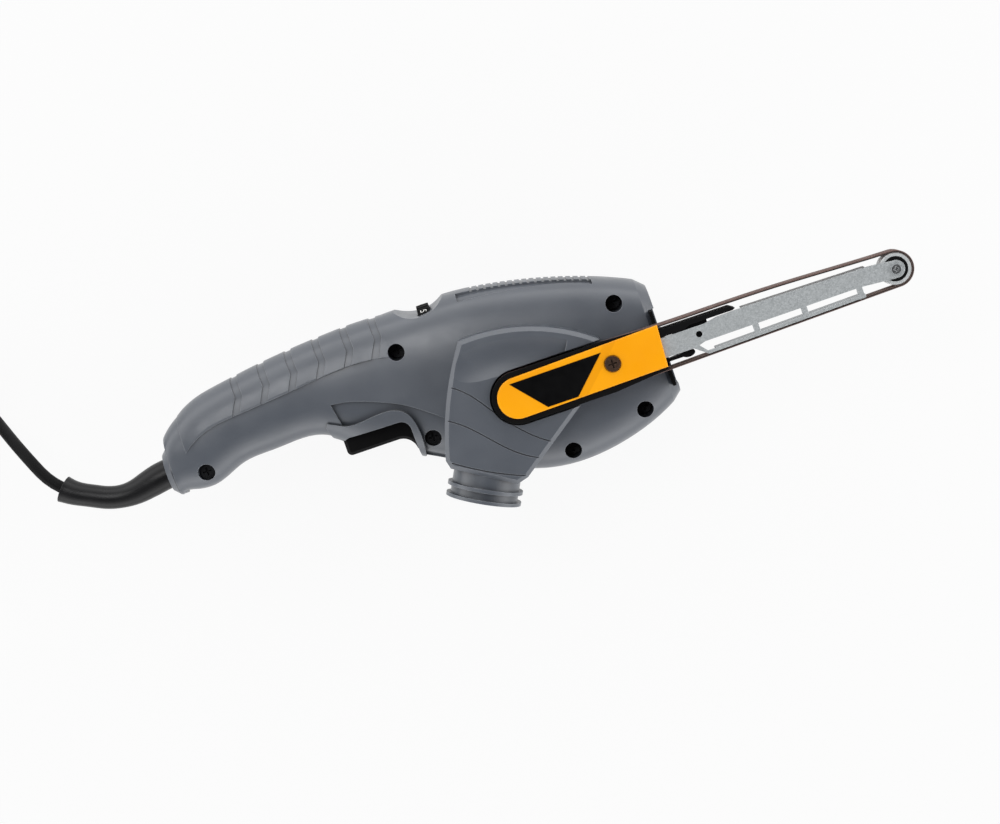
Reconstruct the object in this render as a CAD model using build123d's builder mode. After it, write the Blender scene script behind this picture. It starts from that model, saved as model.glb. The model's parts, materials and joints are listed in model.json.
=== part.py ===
"""Narrow-belt hand sander, lying on the flat end of its motor housing. All sizes are in millimetres.

The origin is the middle of that flat end, on the drive axis. +X runs along the belt arm to the idler,
+Y across it to the top of the handle, and +Z along the drive axis to the side that carries the belt.
"""

import os
from math import copysign, cos, pi, radians, sin, sqrt, tan

from build123d import *

os.makedirs("parts", exist_ok=True)

# Clearances
running_gap = 0.05  # radial, round a shaft that turns
seat_gap = 0.02  # radial, round a piece that is pressed on or in
touch_gap = 0.1  # between fixed pieces that lie against each other
slide_gap = 0.3  # between pieces that pass each other

# Abrasive belt and its two rollers
belt_length = 457.0
belt_width = 13.0
belt_thickness = 1.0
drive_radius = 11.8
idler_radius = 8.05
belt_gap = 0.15
roller_inset = 0.3

# Heights above the resting face
split_z = 47.0
belt_z = 75.5
pad_z = belt_z - 0.7

# Housing
wall = 2.6
front_wall = 5.0
# Along the tool: place, top edge, bottom edge, depth from the parting plane, squareness of the section
stations = [
    (-178.0, 35.5, 4.4, 15.6, 2.6),
    (-170.0, 42.0, 4.6, 16.8, 2.5),
    (-158.0, 47.3, 4.5, 17.2, 2.4),
    (-145.0, 50.2, 9.5, 17.3, 2.4),
    (-125.0, 53.2, 11.3, 17.5, 2.4),
    (-98.0, 56.0, 9.0, 18.0, 2.5),
    (-85.0, 56.8, -0.5, 18.8, 2.6),
    (-70.0, 57.3, -8.5, 20.2, 2.8),
    (-52.0, 58.1, -17.3, 23.0, 3.0),
    (-35.0, 58.0, -26.5, 25.3, 3.2),
    (-15.0, 57.4, -36.3, 26.7, 3.4),
    (5.0, 54.8, -42.8, 27.0, 3.5),
    (25.0, 50.6, -44.2, 27.0, 3.5),
    (45.0, 44.9, -41.3, 26.5, 3.5),
    (65.0, 37.5, -34.8, 25.0, 3.4),
    (73.0, 33.9, -30.9, 24.3, 3.2),
    (78.0, 29.2, -26.8, 20.8, 3.0),
]
crease_x = stations[-2][0]  # where the flat bevel round the front starts
section_steps = 20
# Grip saddle on the handle's top: place and height above the body, then its lower edge
saddle_rise = [(-172.0, -0.4), (-158.0, 1.3), (-70.0, 1.3), (-50.0, -0.4)]
saddle_edge = [(-168.0, 24.9), (-155.0, 32.1), (-136.0, 35.1), (-102.0, 38.1), (-72.0, 40.3), (-52.0, 37.3)]
groove_count = 6
groove_pitch = 15.2
groove_start_x = -135.4
groove_width = 4.0
groove_depth = 0.6
# Knee of the first groove, its rise from one groove to the next, and the lean of the arms below and above it
knee_height, knee_rise = 43.5, 1.0
lean_low, lean_high = 0.5, 0.1
# Shallow channel along each side of the grip: it starts half way down the saddle's edge
channel_radius = 22.0
channel_depth = 0.8
channel_drop = 7.9
channel_end_rise = 1.6
# Hollow above the trigger: its upper and lower edges
hollow_high = [
    (-91.0, 24.5),
    (-81.0, 23.0),
    (-67.0, 18.1),
    (-55.8, 13.0),
    (-48.4, 8.1),
    (-37.6, -0.3),
    (-30.0, -7.0),
]
hollow_low = [
    (-54.0, -16.0),
    (-52.6, -8.0),
    (-52.9, 1.0),
    (-55.2, 7.6),
    (-59.7, 11.3),
    (-66.0, 12.6),
    (-88.8, 12.4),
]
hollow_depth = 1.5
# Raised lip between that hollow and the trigger: the outline of its rear end, and its height
lip_end = [(-95.8, 15.8), (-97.2, 13.6), (-94.0, -4.0), (-60.0, -20.0)]
lip_rise = 1.1
# Ribs along the top of the motor end
rib_count = 17
rib_pitch = 3.6
rib_start_x = -6.0
rib_width = 1.2
rib_depth = 0.6
rib_band = 2.6
# Sunken border on each side of the ribs: its ends, and how far below the top its lower edge runs at each
border_ends = [(-14.0, 4.4), (2.0, 3.6), (20.0, 2.7), (37.0, 1.9), (53.0, 2.4)]
border_depth = 1.3
rib_half_length = 11.0
# Cove along the motor end, below that border: place and depth, then its drop below the top edge
cove_depths = [(-42.0, -0.2), (-30.0, 0.7), (-15.0, 1.3), (5.0, 1.3), (25.0, 1.3), (40.0, 0.9), (54.0, -0.2)]
cove_drop = 17.0
cove_radius = 25.0
rear_x = stations[0][0]
front_x = stations[-1][0]
collar_radius = 12.8
collar_length = 4.0
collar_bevel = 3.0
motor_barrel_radius = 36.0
motor_end_wall = 3.0
barrel_edge_radius = 1.5
vent_width = 2.6
vent_count = 12

# Housing screws: place, and height of the head's seat above the parting plane
screw_seats = [
    (-161.7, 12.3, 8.0),
    (-50.8, 39.2, 2.0),
    (59.8, 27.2, 2.0),
    (57.9, -28.2, 2.0),
    (17.2, -36.2, 2.0),
    (-47.5, -7.8, 11.0),
]
screw_radius = 1.95
screw_head_radius = 3.8
screw_head_height = 2.6
screw_length = 19.0
screw_recess_radius = 4.3
screw_post_wall = 1.6

# Motor, along the drive axis
shaft_radius = 4.0
bearing_radius = 11.0
bearing_width = 7.0
bearing_seat_wall = 3.5
rear_bearing_z = motor_end_wall + 0.2
commutator_z = 12.0
commutator_length = 12.0
commutator_radius = 10.0
stack_z = 31.0
stack_length = 20.0
armature_radius = 15.0
air_gap = 0.5
stator_radius = 31.5
winding_overhang = 6.0
armature_slots = 12
fan_z = 57.5
fan_height = 6.1
fan_radius = 26.0
fan_blades = 11
front_bearing_z = 64.2

# Dust shroud and its spout
shroud_face_z = belt_z + belt_width - 0.5
shroud_back_z = 50.0
shroud_wall = 2.2
shroud_roof = 3.2
shroud_gap = 0.25
belt_slot_gap = 1.2
spout_tilt = 28.0  # degrees from -Y towards -X
spout_mouth = (-33.6, -45.0, 69.0)
spout_radius = 17.0
spout_bore = 14.5
spout_bore_length = 15.5
spout_bore_step = 0.8
spout_length = 22.0
spout_flange_radius = 19.0
spout_flange_thickness = 1.8
spout_flange_step = 5.6

# Belt carrier, arm and cover
arm_thickness = 1.6
arm_travel = 8.0
arm_low = -4.9
arm_high = 5.0
tongue_x = 62.0
flange_depth = 10.6
cover_thickness = 1.8
cover_radius = 10.3
cover_end_x = 76.0
cover_end_high = 12.0
cover_end_low = -9.2
cover_screw_point = (49.4, 1.0)
decal_thickness = 0.15
carrier_start_x = 13.2
carrier_half_height = 9.2
guard_plate_radius = 13.0
guard_plate_end_x = 47.0
guard_tip_x = cover_end_x - 1.4
guard_tip_high, guard_tip_low = 11.7, -10.6
carrier_screw_points = [(19.5, 0.0), (34.0, 0.0)]
finger_end_x = 115.0
axle_radius = 2.2
axle_head_radius = 2.5
bush_radius = 6.2
lever_pivot = (64.5, -7.0)
lever_pin_radius = 1.5
lever_tab = (86.6, -6.6)
lever_z = belt_z + 4.7
lever_thickness = 6.6

# Trigger, switch and speed dial
trigger_rear_x = -91.8
trigger_front_x = -56.8
trigger_low = -4.1
trigger_high = 13.0
trigger_width = 15.6
trigger_travel = 5.0
trigger_corner = 2.6
trigger_bevel = 1.6
pocket_top = 5.5
lip_width = 20.0
dial_radius = 14.0
dial_width = 6.0
dial_centre = (-32.0, 42.7)
scoop_radius = 18.0
scoop_centre = (-33.5, 70.8)
scoop_tilt = 3.0  # degrees, deeper on the belt's side

# Mains cord: route from inside the handle to the coil
cord_radius = 3.1
tail_radius = 2.5
cord_exit_y = 17.3
guard_radius = 7.6
route = [
    (-171.5, cord_exit_y, split_z),
    (-184.0, 17.0, split_z),
    (-208.8, 11.6, split_z),
    (-238.7, 26.4, split_z),
    (-251.6, 51.2, 38.0),
]
coil_start = (-281.0, 112.0)
coil_heading = 110.0  # degrees, the way that the cord runs where the coil starts
coil_turns = 7.5
coil_pitch = 6.7
coil_inner_radius = 24.5
coil_layer_step = 6.7
tie_thickness = 0.9
floor_gap = 0.6

# Sizes that follow from the ones above
pitch_drive = drive_radius + belt_thickness / 2
pitch_idler = idler_radius + belt_thickness / 2
free_length = belt_length - pi * (pitch_drive + pitch_idler)
axle_x = (free_length + sqrt(free_length**2 - 8 * (pitch_drive - pitch_idler) ** 2)) / 4
belt_top_z = belt_z + belt_width
roller_z = belt_z + roller_inset
roller_width = belt_width - 2 * roller_inset
arm_z = belt_top_z + touch_gap
cover_z = arm_z + arm_thickness + 2 * touch_gap
cover_top_z = cover_z + cover_thickness
carrier_top_z = arm_z - slide_gap
split_plane = Plane.XY.offset(split_z)
drive_slope = (drive_radius - idler_radius) / axle_x
spout_way = (-sin(radians(spout_tilt)), -cos(radians(spout_tilt)), 0)
on_base = (Align.CENTER, Align.CENTER, Align.MIN)


def belt_inner_height(x):
    """Distance of the belt's inner face from the arm's axis, at a place along the arm."""
    return drive_radius + belt_gap - drive_slope * x


def station_at(x):
    """The body's top, bottom, depth and squareness at a place along the tool."""
    for near, far in zip(stations, stations[1:]):
        if x <= far[0]:
            break
    share = (x - near[0]) / (far[0] - near[0])
    return [a + share * (b - a) for a, b in zip(near[1:], far[1:])]


def saddle_height(x):
    """Height of the grip saddle above the body at a place along the tool."""
    for near, far in zip(saddle_rise, saddle_rise[1:]):
        if x <= far[0]:
            break
    share = (x - near[0]) / (far[0] - near[0])
    return near[1] + share * (far[1] - near[1])


def body_form(rear, front, inset=0, saddle=False):
    """Half of the body above the parting plane, drawn in all round by inset, or swelled for the saddle."""
    drawn_in = inset
    smooth_end = min(front, crease_x)
    runs = [[rear] + [s[0] for s in stations if rear < s[0] < smooth_end] + [smooth_end]]
    if front > crease_x:
        runs.append([crease_x, front])
    with BuildPart() as form:
        for places in runs:
            for x in places:
                top, bottom, depth, squareness = station_at(x)
                middle = (top + bottom) / 2
                if saddle:
                    inset = drawn_in - saddle_height(x)
                half_height = (top - bottom) / 2 - inset
                rim = []
                for step in range(section_steps):
                    angle = 2 * pi * step / section_steps
                    across = copysign(abs(cos(angle)) ** (2 / squareness), cos(angle))
                    out = copysign(abs(sin(angle)) ** (2 / squareness), sin(angle))
                    rim.append((middle + half_height * across, (depth - inset) * out))
                with BuildSketch(Plane((x, 0, split_z), x_dir=(0, 1, 0), z_dir=(1, 0, 0))):
                    with BuildLine():
                        Spline(*rim, periodic=True)
                    make_face()
            loft(ruled=places[0] == crease_x)
        split(bisect_by=split_plane, keep=Keep.TOP)
    return form.part


def body_point(x, drop):
    """A place on the body's outside, by its drop below the top edge, and the way that it faces."""
    top, bottom, depth, squareness = station_at(x)
    half_height = (top - bottom) / 2
    across = 1 - drop / half_height
    out = (1 - across**squareness) ** (1 / squareness)
    facing = Vector(0, across ** (squareness - 1) / half_height, out ** (squareness - 1) / depth)
    return Vector(x, top - drop, split_z + depth * out), facing.normalized()


def round_bar(points, radius):
    """A round bar on a smooth line, to cut a shallow channel with."""
    with BuildPart() as bar:
        with BuildLine() as run:
            Spline(*points)
        with BuildSketch(Plane(origin=points[0], z_dir=run.wire() % 0)):
            Circle(radius)
        sweep(path=run.wire())
    return bar.part


def upright(outline, low, high):
    """A sketch on the XY plane, raised between two heights."""
    with BuildPart() as block:
        add(outline)
        extrude(amount=high - low)
    return block.part.moved(Location((0, 0, low)))


def box(low, high):
    """A block between two corners."""
    size = [b - a for a, b in zip(low, high)]
    with BuildPart() as block:
        with Locations(tuple((a + b) / 2 for a, b in zip(low, high))):
            Box(*size)
    return block.part


def post(point, radius, low, high):
    """An upright round post."""
    with BuildPart() as block:
        with Locations((point[0], point[1], low)):
            Cylinder(radius, high - low, align=on_base)
    return block.part


def screw(point, seat, length, head_radius, head_height, radius):
    """A screw with a cross recess in its head."""
    with BuildPart() as block:
        add(post(point, radius, seat - length, seat))
        add(post(point, head_radius, seat, seat + head_height))
        with BuildSketch(Plane.XY.offset(seat + head_height)):
            with Locations(point):
                Rectangle(1.2 * head_radius, 0.9)
                Rectangle(0.9, 1.2 * head_radius)
        extrude(amount=-0.7 * head_height, mode=Mode.SUBTRACT)
    return block.part


def ring(outer, inner, low, high):
    """A round collar on the drive axis."""
    with BuildPart() as block:
        with BuildSketch(Plane.XY.offset(low)):
            Circle(outer)
            Circle(inner, mode=Mode.SUBTRACT)
        extrude(amount=high - low)
    return block.part


def along_x(y, radius, low, high):
    """A round bar along X at the parting plane."""
    with BuildPart() as block:
        with BuildSketch(Plane((low, y, split_z), x_dir=(0, 1, 0), z_dir=(1, 0, 0))):
            Circle(radius)
        extrude(amount=high - low)
    return block.part


def finger_pocket(grow):
    """Space under the trigger that the finger goes into."""
    left = trigger_rear_x - 2 * slide_gap - grow
    right = trigger_front_x + 2 * slide_gap + grow
    top = pocket_top + grow
    floor = stations[0][2] - 100
    with BuildPart() as pocket:
        with BuildSketch():
            with Locations(((left + right) / 2, (top + floor) / 2)):
                RectangleRounded(right - left, top - floor, 5.0)
        extrude(amount=2 * split_z)
    return pocket.part


def dial_scoop(grow):
    """Hollow across the top of the handle, round the speed dial."""
    with BuildPart() as hollow:
        with Locations(Location((scoop_centre[0], scoop_centre[1], split_z), (scoop_tilt, 0, 0))):
            Cylinder(scoop_radius + grow, 2 * split_z)
    return hollow.part


def above_split(piece):
    """The part of a piece above the parting plane."""
    with BuildPart() as half:
        add(piece)
        split(bisect_by=split_plane, keep=Keep.TOP)
    return half.part


def sector(inner, outer, start, span):
    """A slice of a ring, as a sketch round the drive axis."""
    with BuildSketch() as slice_of_ring:
        with BuildLine():
            inside = CenterArc((0, 0), inner, start, span)
            outside = CenterArc((0, 0), outer, start, span)
            Line(inside @ 0, outside @ 0)
            Line(inside @ 1, outside @ 1)
        make_face()
    return slice_of_ring.sketch


def wound_tube(points, tangents, radius, lead_in, lead_out):
    """A round tube on two tangent arcs from each point to the next, with straight ends."""
    with BuildPart() as tube:
        with BuildLine() as run:
            if lead_in:
                Line(points[0] - tangents[0] * lead_in, points[0])
            for start, end, leave, arrive in zip(points, points[1:], tangents, tangents[1:]):
                span = end - start
                bend = 2 * (leave.dot(arrive) - 1)
                reach = -2 * span.dot(leave + arrive)
                root = sqrt(reach**2 - 4 * bend * span.dot(span))
                arm = (-reach - root) / (2 * bend)
                joint = (start + leave * arm + end - arrive * arm) * 0.5
                first = TangentArc(start, joint, tangent=leave)
                TangentArc(joint, end, tangent=first % 1)
            if lead_out:
                Line(points[-1], points[-1] + tangents[-1] * lead_out)
        path = run.wire()
        with BuildSketch(Plane(origin=path @ 0, z_dir=path % 0)):
            Circle(radius)
        sweep(path=path)
    return tube.part


def helix_tube(base, way, across, coil_radius, wire_radius, length, turns):
    """A wire spring wound round an axis from its base point."""
    way, across = Vector(way), Vector(across)
    third = way.cross(across)
    points, tangents = [], []
    for quarter in range(int(turns * 4) + 1):
        angle = pi / 2 * quarter
        rise = length * quarter / (turns * 4)
        points.append(
            Vector(base) + way * rise + (across * cos(angle) + third * sin(angle)) * coil_radius
        )
        slope = length / (2 * pi * turns)
        tangents.append((way * slope + (third * cos(angle) - across * sin(angle)) * coil_radius).normalized())
    return wound_tube(points, tangents, wire_radius, 0, 0)


# Body forms that both halves share
saddle_rear, saddle_front = saddle_rise[0][0], saddle_rise[-1][0]
with BuildSketch() as saddle_outline:
    with BuildLine():
        edge = Spline(*saddle_edge)
        top = max(station[1] for station in stations) + 10
        Polyline(edge @ 1, (saddle_edge[-1][0], top), (saddle_edge[0][0], top), edge @ 0)
    make_face()
with BuildSketch() as groove_outline:
    for groove in range(groove_count):
        x = groove_start_x + groove_pitch * groove
        knee = knee_height + knee_rise * groove
        foot = knee - groove_pitch
        side = [(x - lean_high * (top - knee), top), (x, knee), (x - lean_low * groove_pitch, foot)]
        Polygon(*side, *[(a + groove_width, b) for a, b in reversed(side)], align=None)
with BuildSketch() as hollow_outline:
    with BuildLine():
        high = Spline(*hollow_high)
        low = Spline(*hollow_low)
        floor = stations[0][2] - 100
        Polyline(high @ 1, (hollow_high[-1][0], floor), (hollow_low[0][0], floor), low @ 0)
        Line(low @ 1, high @ 0)
    make_face()
with BuildSketch() as lip_outline:
    with BuildLine():
        low = Spline(*hollow_low)
        Polyline(low @ 1, *lip_end, low @ 0)
    make_face()
with BuildSketch() as border_outline:
    with BuildLine():
        low = Spline(*[(x, station_at(x)[0] - drop) for x, drop in border_ends])
        Polyline(low @ 1, (border_ends[-1][0], top), (border_ends[0][0], top), low @ 0)
    make_face()
with BuildSketch() as rib_outline:
    for rib in range(rib_count):
        x = rib_start_x + rib_pitch * rib
        with Locations((x, station_at(x)[0])):
            Rectangle(rib_width, 2 * rib_band)
with BuildPart() as trigger_lip:
    add(body_form(rear_x, front_x, -lip_rise))
    add(upright(lip_outline.sketch, split_z - 1, 2 * split_z), mode=Mode.INTERSECT)
with BuildPart() as outer_body:
    add(body_form(saddle_rear, saddle_front, saddle=True))
    add(upright(saddle_outline.sketch, split_z - 1, 2 * split_z), mode=Mode.INTERSECT)
    add(body_form(rear_x, front_x))
    add(trigger_lip.part)
with BuildPart() as groove_cut:
    add(upright(groove_outline.sketch, split_z - 1, 2 * split_z))
    add(upright(saddle_outline.sketch, split_z - 1, 2 * split_z), mode=Mode.INTERSECT)
    add(body_form(saddle_rear, saddle_front, groove_depth, saddle=True), mode=Mode.SUBTRACT)
with BuildPart() as hollow_cut:
    add(upright(hollow_outline.sketch, split_z + trigger_width / 2, 2 * split_z))
    add(body_form(rear_x, front_x, hollow_depth), mode=Mode.SUBTRACT)
with BuildPart() as rib_cut:
    add(upright(rib_outline.sketch, split_z - 1, split_z + rib_half_length))
    add(body_form(rear_x, front_x, rib_depth), mode=Mode.SUBTRACT)
with BuildPart() as border_cut:
    add(upright(border_outline.sketch, split_z + rib_half_length, 2 * split_z))
    add(body_form(rear_x, front_x, border_depth), mode=Mode.SUBTRACT)
channel_points = []
for x, y in saddle_edge:
    fade = channel_end_rise if x in (saddle_edge[0][0], saddle_edge[-1][0]) else 0
    axis_z = split_z + station_at(x)[2] + channel_radius - channel_depth + fade
    channel_points.append((x, y - channel_drop, axis_z))
cove_points = []
for x, depth in cove_depths:
    point, facing = body_point(x, cove_drop)
    cove_points.append(point + facing * (cove_radius - depth))
with BuildPart() as detailed_body:
    add(outer_body.part)
    for cut in (groove_cut, hollow_cut, rib_cut, border_cut):
        add(cut.part, mode=Mode.SUBTRACT)
    add(round_bar(channel_points, channel_radius), mode=Mode.SUBTRACT)
    add(round_bar(cove_points, cove_radius), mode=Mode.SUBTRACT)
outer_form = detailed_body.part
print("body", round(outer_body.part.volume), round(outer_form.volume))
clear_form = body_form(rear_x, front_x, -shroud_gap)
with BuildPart() as inner_space:
    add(body_form(rear_x + wall, front_x - front_wall, wall))
    add(finger_pocket(wall), mode=Mode.SUBTRACT)
    add(dial_scoop(wall), mode=Mode.SUBTRACT)
with BuildPart() as whole_collar:
    add(along_x(cord_exit_y, collar_radius, rear_x - collar_length, rear_x + wall))
    chamfer(whole_collar.edges().filter_by(GeomType.CIRCLE).sort_by(Axis.X)[0], collar_bevel)
collar = above_split(whole_collar.part)
cord_hole = along_x(cord_exit_y, guard_radius + 0.8, rear_x - 2 * collar_length, rear_x + 2 * wall)
trigger_slot = box(
    (trigger_rear_x - slide_gap, trigger_low, split_z - trigger_width / 2 - slide_gap),
    (trigger_front_x + slide_gap, trigger_high + trigger_travel, split_z + trigger_width / 2 + slide_gap),
)
dial_slot = along_x(
    dial_centre[1],
    dial_radius + 2 * slide_gap,
    dial_centre[0] - dial_width / 2 - slide_gap,
    dial_centre[0] + dial_width / 2 + slide_gap,
)

# Right half of the housing, under the belt
front_plate_low, front_plate_high = -21.0, 18.0
front_plate_x, front_plate_thickness = 74.8, 1.6
bearing_seat_radius = bearing_radius + bearing_seat_wall
front_bearing_top = front_bearing_z + bearing_width
with BuildPart() as right_space:
    add(inner_space.part)
    for x, y, seat in screw_seats:
        add(post((x, y), screw_recess_radius + screw_post_wall, split_z - 1, 2 * split_z), mode=Mode.SUBTRACT)
    add(post((0, 0), bearing_seat_radius, front_bearing_z, 2 * split_z), mode=Mode.SUBTRACT)
    for point in carrier_screw_points:
        add(post(point, 2 * screw_radius, front_bearing_z + 0.6, 2 * split_z), mode=Mode.SUBTRACT)
with BuildPart() as housing_right:
    add(outer_form)
    add(collar)
    add(box((carrier_start_x, -carrier_half_height, split_z), (front_x - 2, carrier_half_height, pad_z)))
    add(finger_pocket(0), mode=Mode.SUBTRACT)
    add(dial_scoop(0), mode=Mode.SUBTRACT)
    for x, y, seat in screw_seats:
        add(post((x, y), screw_recess_radius, split_z + seat, 2 * split_z), mode=Mode.SUBTRACT)
        add(post((x, y), screw_radius + running_gap, split_z - 1, split_z + seat + 1), mode=Mode.SUBTRACT)
    for point in carrier_screw_points:
        add(post(point, screw_radius + seat_gap, front_bearing_z + 2, 2 * split_z), mode=Mode.SUBTRACT)
    add(post((0, 0), bearing_radius + seat_gap, split_z - 1, front_bearing_top), mode=Mode.SUBTRACT)
    add(post((0, 0), shaft_radius + 2, split_z - 1, 2 * split_z), mode=Mode.SUBTRACT)
    add(trigger_slot, mode=Mode.SUBTRACT)
    add(dial_slot, mode=Mode.SUBTRACT)
    add(cord_hole, mode=Mode.SUBTRACT)
    add(
        box(
            (front_plate_x - touch_gap, front_plate_low - slide_gap, split_z - 1),
            (front_x + 2, front_plate_high + slide_gap, 2 * split_z),
        ),
        mode=Mode.SUBTRACT,
    )
    add(right_space.part, mode=Mode.SUBTRACT)

# Left half of the housing, with the motor barrel that the tool lies on
switch_low = (-90.0, trigger_high + trigger_travel + 1, split_z - 8)
switch_high = (-62.0, 36.0, split_z + 8)
board_x, board_thickness = -19.6, 1.6
board_low, board_high = 30.0, 52.0
board_half_width = 11.0
clamp_x, clamp_width, clamp_thickness = -150.0, 8.0, 2.8
clamp_posts = [16.5, 30.5]
tail_y, tail_z = 23.5, split_z - 4.5
clamp_z = tail_z + tail_radius + touch_gap
saddle_z = tail_z - tail_radius - touch_gap
barrel_inner = motor_barrel_radius - wall
with BuildPart() as left_space:
    mirror(inner_space.part, about=split_plane)
    add(post((0, 0), barrel_inner, motor_end_wall, split_z))
    for x, y, seat in screw_seats:
        add(post((x, y), screw_radius + 2.6, 0, split_z + 1), mode=Mode.SUBTRACT)
    for y in clamp_posts:
        add(post((clamp_x, y), 2 * screw_radius, 0, clamp_z - touch_gap), mode=Mode.SUBTRACT)
    clamp_half = clamp_width / 2
    saddle = box((clamp_x - clamp_half, clamp_posts[0], 0), (clamp_x + clamp_half, clamp_posts[1], saddle_z))
    add(saddle, mode=Mode.SUBTRACT)
    rib_low, rib_high = switch_low[1] + 1, switch_high[1] - 1
    for rib_x in (switch_low[0] + 3, switch_high[0] - 3):
        rib = box((rib_x - 2, rib_low, 0), (rib_x + 2, rib_high, switch_low[2] - touch_gap))
        add(rib, mode=Mode.SUBTRACT)
    board_foot = split_z - board_half_width - touch_gap
    rib = box((board_x - 1, board_low + 8, 0), (board_x + board_thickness + 1, board_low + 14, board_foot))
    add(rib, mode=Mode.SUBTRACT)
    with BuildSketch(Plane.XY.offset(motor_end_wall + 6)):
        with PolarLocations((stator_radius + touch_gap + motor_barrel_radius) / 2, 4, start_angle=45):
            Rectangle(motor_barrel_radius - stator_radius - touch_gap, 5)
    extrude(amount=split_z - motor_end_wall - 8, mode=Mode.SUBTRACT)
    add(post((0, 0), bearing_seat_radius, 0, rear_bearing_z + bearing_width), mode=Mode.SUBTRACT)
with BuildPart() as motor_barrel:
    add(post((0, 0), motor_barrel_radius, 0, split_z - 2))
    fillet(motor_barrel.edges().group_by(Axis.Z)[0], barrel_edge_radius)
with BuildPart() as housing_left:
    mirror(outer_form, about=split_plane)
    mirror(collar, about=split_plane)
    add(motor_barrel.part)
    add(finger_pocket(0), mode=Mode.SUBTRACT)
    add(dial_scoop(0), mode=Mode.SUBTRACT)
    add(post((0, 0), bearing_radius + seat_gap, rear_bearing_z - touch_gap, split_z + 1), mode=Mode.SUBTRACT)
    with BuildSketch(Plane.XY.offset(-1)):
        with PolarLocations((bearing_seat_radius + barrel_inner) / 2, vent_count):
            SlotOverall(barrel_inner - bearing_seat_radius - 3, vent_width)
    extrude(amount=motor_end_wall + 2, mode=Mode.SUBTRACT)
    with BuildSketch(Plane.XY):
        with Locations((54, 7)):
            with GridLocations(0, 6, 1, 5):
                SlotOverall(24, vent_width, rotation=-14)
    extrude(amount=split_z - 12, mode=Mode.SUBTRACT)
    for x, y, seat in screw_seats:
        pilot_end = split_z + seat - screw_length - 1
        add(post((x, y), screw_radius + running_gap, pilot_end, split_z + 1), mode=Mode.SUBTRACT)
    for y in clamp_posts:
        add(post((clamp_x, y), screw_radius - 0.4, clamp_z - 9, split_z + 1), mode=Mode.SUBTRACT)
    add(trigger_slot, mode=Mode.SUBTRACT)
    add(dial_slot, mode=Mode.SUBTRACT)
    add(cord_hole, mode=Mode.SUBTRACT)
    add(left_space.part, mode=Mode.SUBTRACT)
print("housing", round(housing_left.part.volume), round(housing_right.part.volume))

# Housing screws, one solid each
with BuildPart() as housing_screws:
    for x, y, seat in screw_seats:
        add(screw((x, y), split_z + seat, screw_length, screw_head_radius, screw_head_height, screw_radius))

# Dust shroud over the drive end of the belt, with a stepped spout for a hose
with BuildSketch() as shroud_outline:
    with BuildLine():
        crown = ThreePointArc((-19.1, 35.5), (16.9, 31.0), (47.6, 13.7))
        corners = [(28.4, -13.6), (-8.2, -39.4), (-14.0, -41.0), (-43.0, -23.0), (-44.1, -18.6)]
        edge = Polyline(crown @ 1, *corners)
        ThreePointArc(edge @ 1, (-34.4, 9.0), crown @ 0)
    make_face()
belt_slot_half = drive_radius + belt_thickness + belt_slot_gap
shroud_bevel = 2.0
seam_width, seam_depth = 0.7, 0.6
shroud_seams = [
    [(-33.0, 17.0), (-22.0, 8.3), (-14.6, -1.7), (-4.0, -15.3), (9.9, -26.8)],
    [(-39.0, 1.3), (-25.5, -9.0), (-14.0, -21.4), (2.2, -32.4)],
    [(-41.5, -20.4), (-29.5, -28.2), (-14.8, -35.7), (-8.0, -38.4)],
]
# Shallow dish inside the crown: middle and radius of its run, then angle and depth along it
dish_centre, dish_run = (-11.9, -57.1), 79.2
dish_depths = [(99.0, -0.1), (95.0, 0.9), (90.0, 1.3), (80.0, 1.3), (70.0, 1.3), (60.0, 1.3)]
dish_radius = 30.0
dish_points = []
for angle, depth in dish_depths:
    x = dish_centre[0] + dish_run * cos(radians(angle))
    y = dish_centre[1] + dish_run * sin(radians(angle))
    dish_points.append((x, y, shroud_face_z + dish_radius - depth))
with BuildPart() as shroud_space:
    with BuildSketch():
        add(shroud_outline.sketch)
        offset(amount=-shroud_wall)
    extrude(amount=shroud_face_z - shroud_roof)
    add(box((-100, -100, -1), (100, 100, shroud_back_z + shroud_wall)), mode=Mode.SUBTRACT)
with BuildPart() as shroud_block:
    add(upright(shroud_outline.sketch, shroud_back_z, shroud_face_z))
    chamfer(shroud_block.edges().group_by(Axis.Z)[-1], shroud_bevel)
    for seam in shroud_seams:
        with BuildSketch(Plane.XY.offset(shroud_face_z - seam_depth)):
            with BuildLine():
                Spline(*seam)
            trace(line_width=seam_width)
        extrude(amount=2 * seam_depth, mode=Mode.SUBTRACT)
    add(round_bar(dish_points, dish_radius), mode=Mode.SUBTRACT)
with BuildPart() as dust_shroud:
    add(shroud_block.part)
    with BuildSketch(Plane(origin=spout_mouth, z_dir=[-way for way in spout_way])) as spout_section:
        Circle(spout_radius)
    extrude(amount=spout_length)
    for step in (0, spout_flange_step):
        with BuildSketch(Plane(origin=spout_mouth, z_dir=[-way for way in spout_way]).offset(step)):
            Circle(spout_flange_radius)
        extrude(amount=spout_flange_thickness)
    add(shroud_space.part, mode=Mode.SUBTRACT)
    with BuildSketch(Plane(origin=spout_mouth, z_dir=[-way for way in spout_way]).offset(-1)):
        Circle(spout_bore)
    extrude(amount=spout_length + 1, mode=Mode.SUBTRACT)
    with BuildSketch(Plane(origin=spout_mouth, z_dir=[-way for way in spout_way]).offset(spout_bore_length)):
        Circle(spout_bore + spout_bore_step)
    extrude(amount=spout_length - spout_bore_length, mode=Mode.SUBTRACT)
    add(clear_form, mode=Mode.SUBTRACT)
    with BuildSketch(Plane.XY.offset(pad_z - 10)):
        Circle(belt_slot_half)
        with Locations((axle_x / 2, 0)):
            Rectangle(axle_x, 2 * belt_slot_half)
    extrude(amount=shroud_face_z, mode=Mode.SUBTRACT)
    largest = dust_shroud.solids().sort_by(SortBy.VOLUME)[-1]
    add(largest, mode=Mode.REPLACE)

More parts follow.
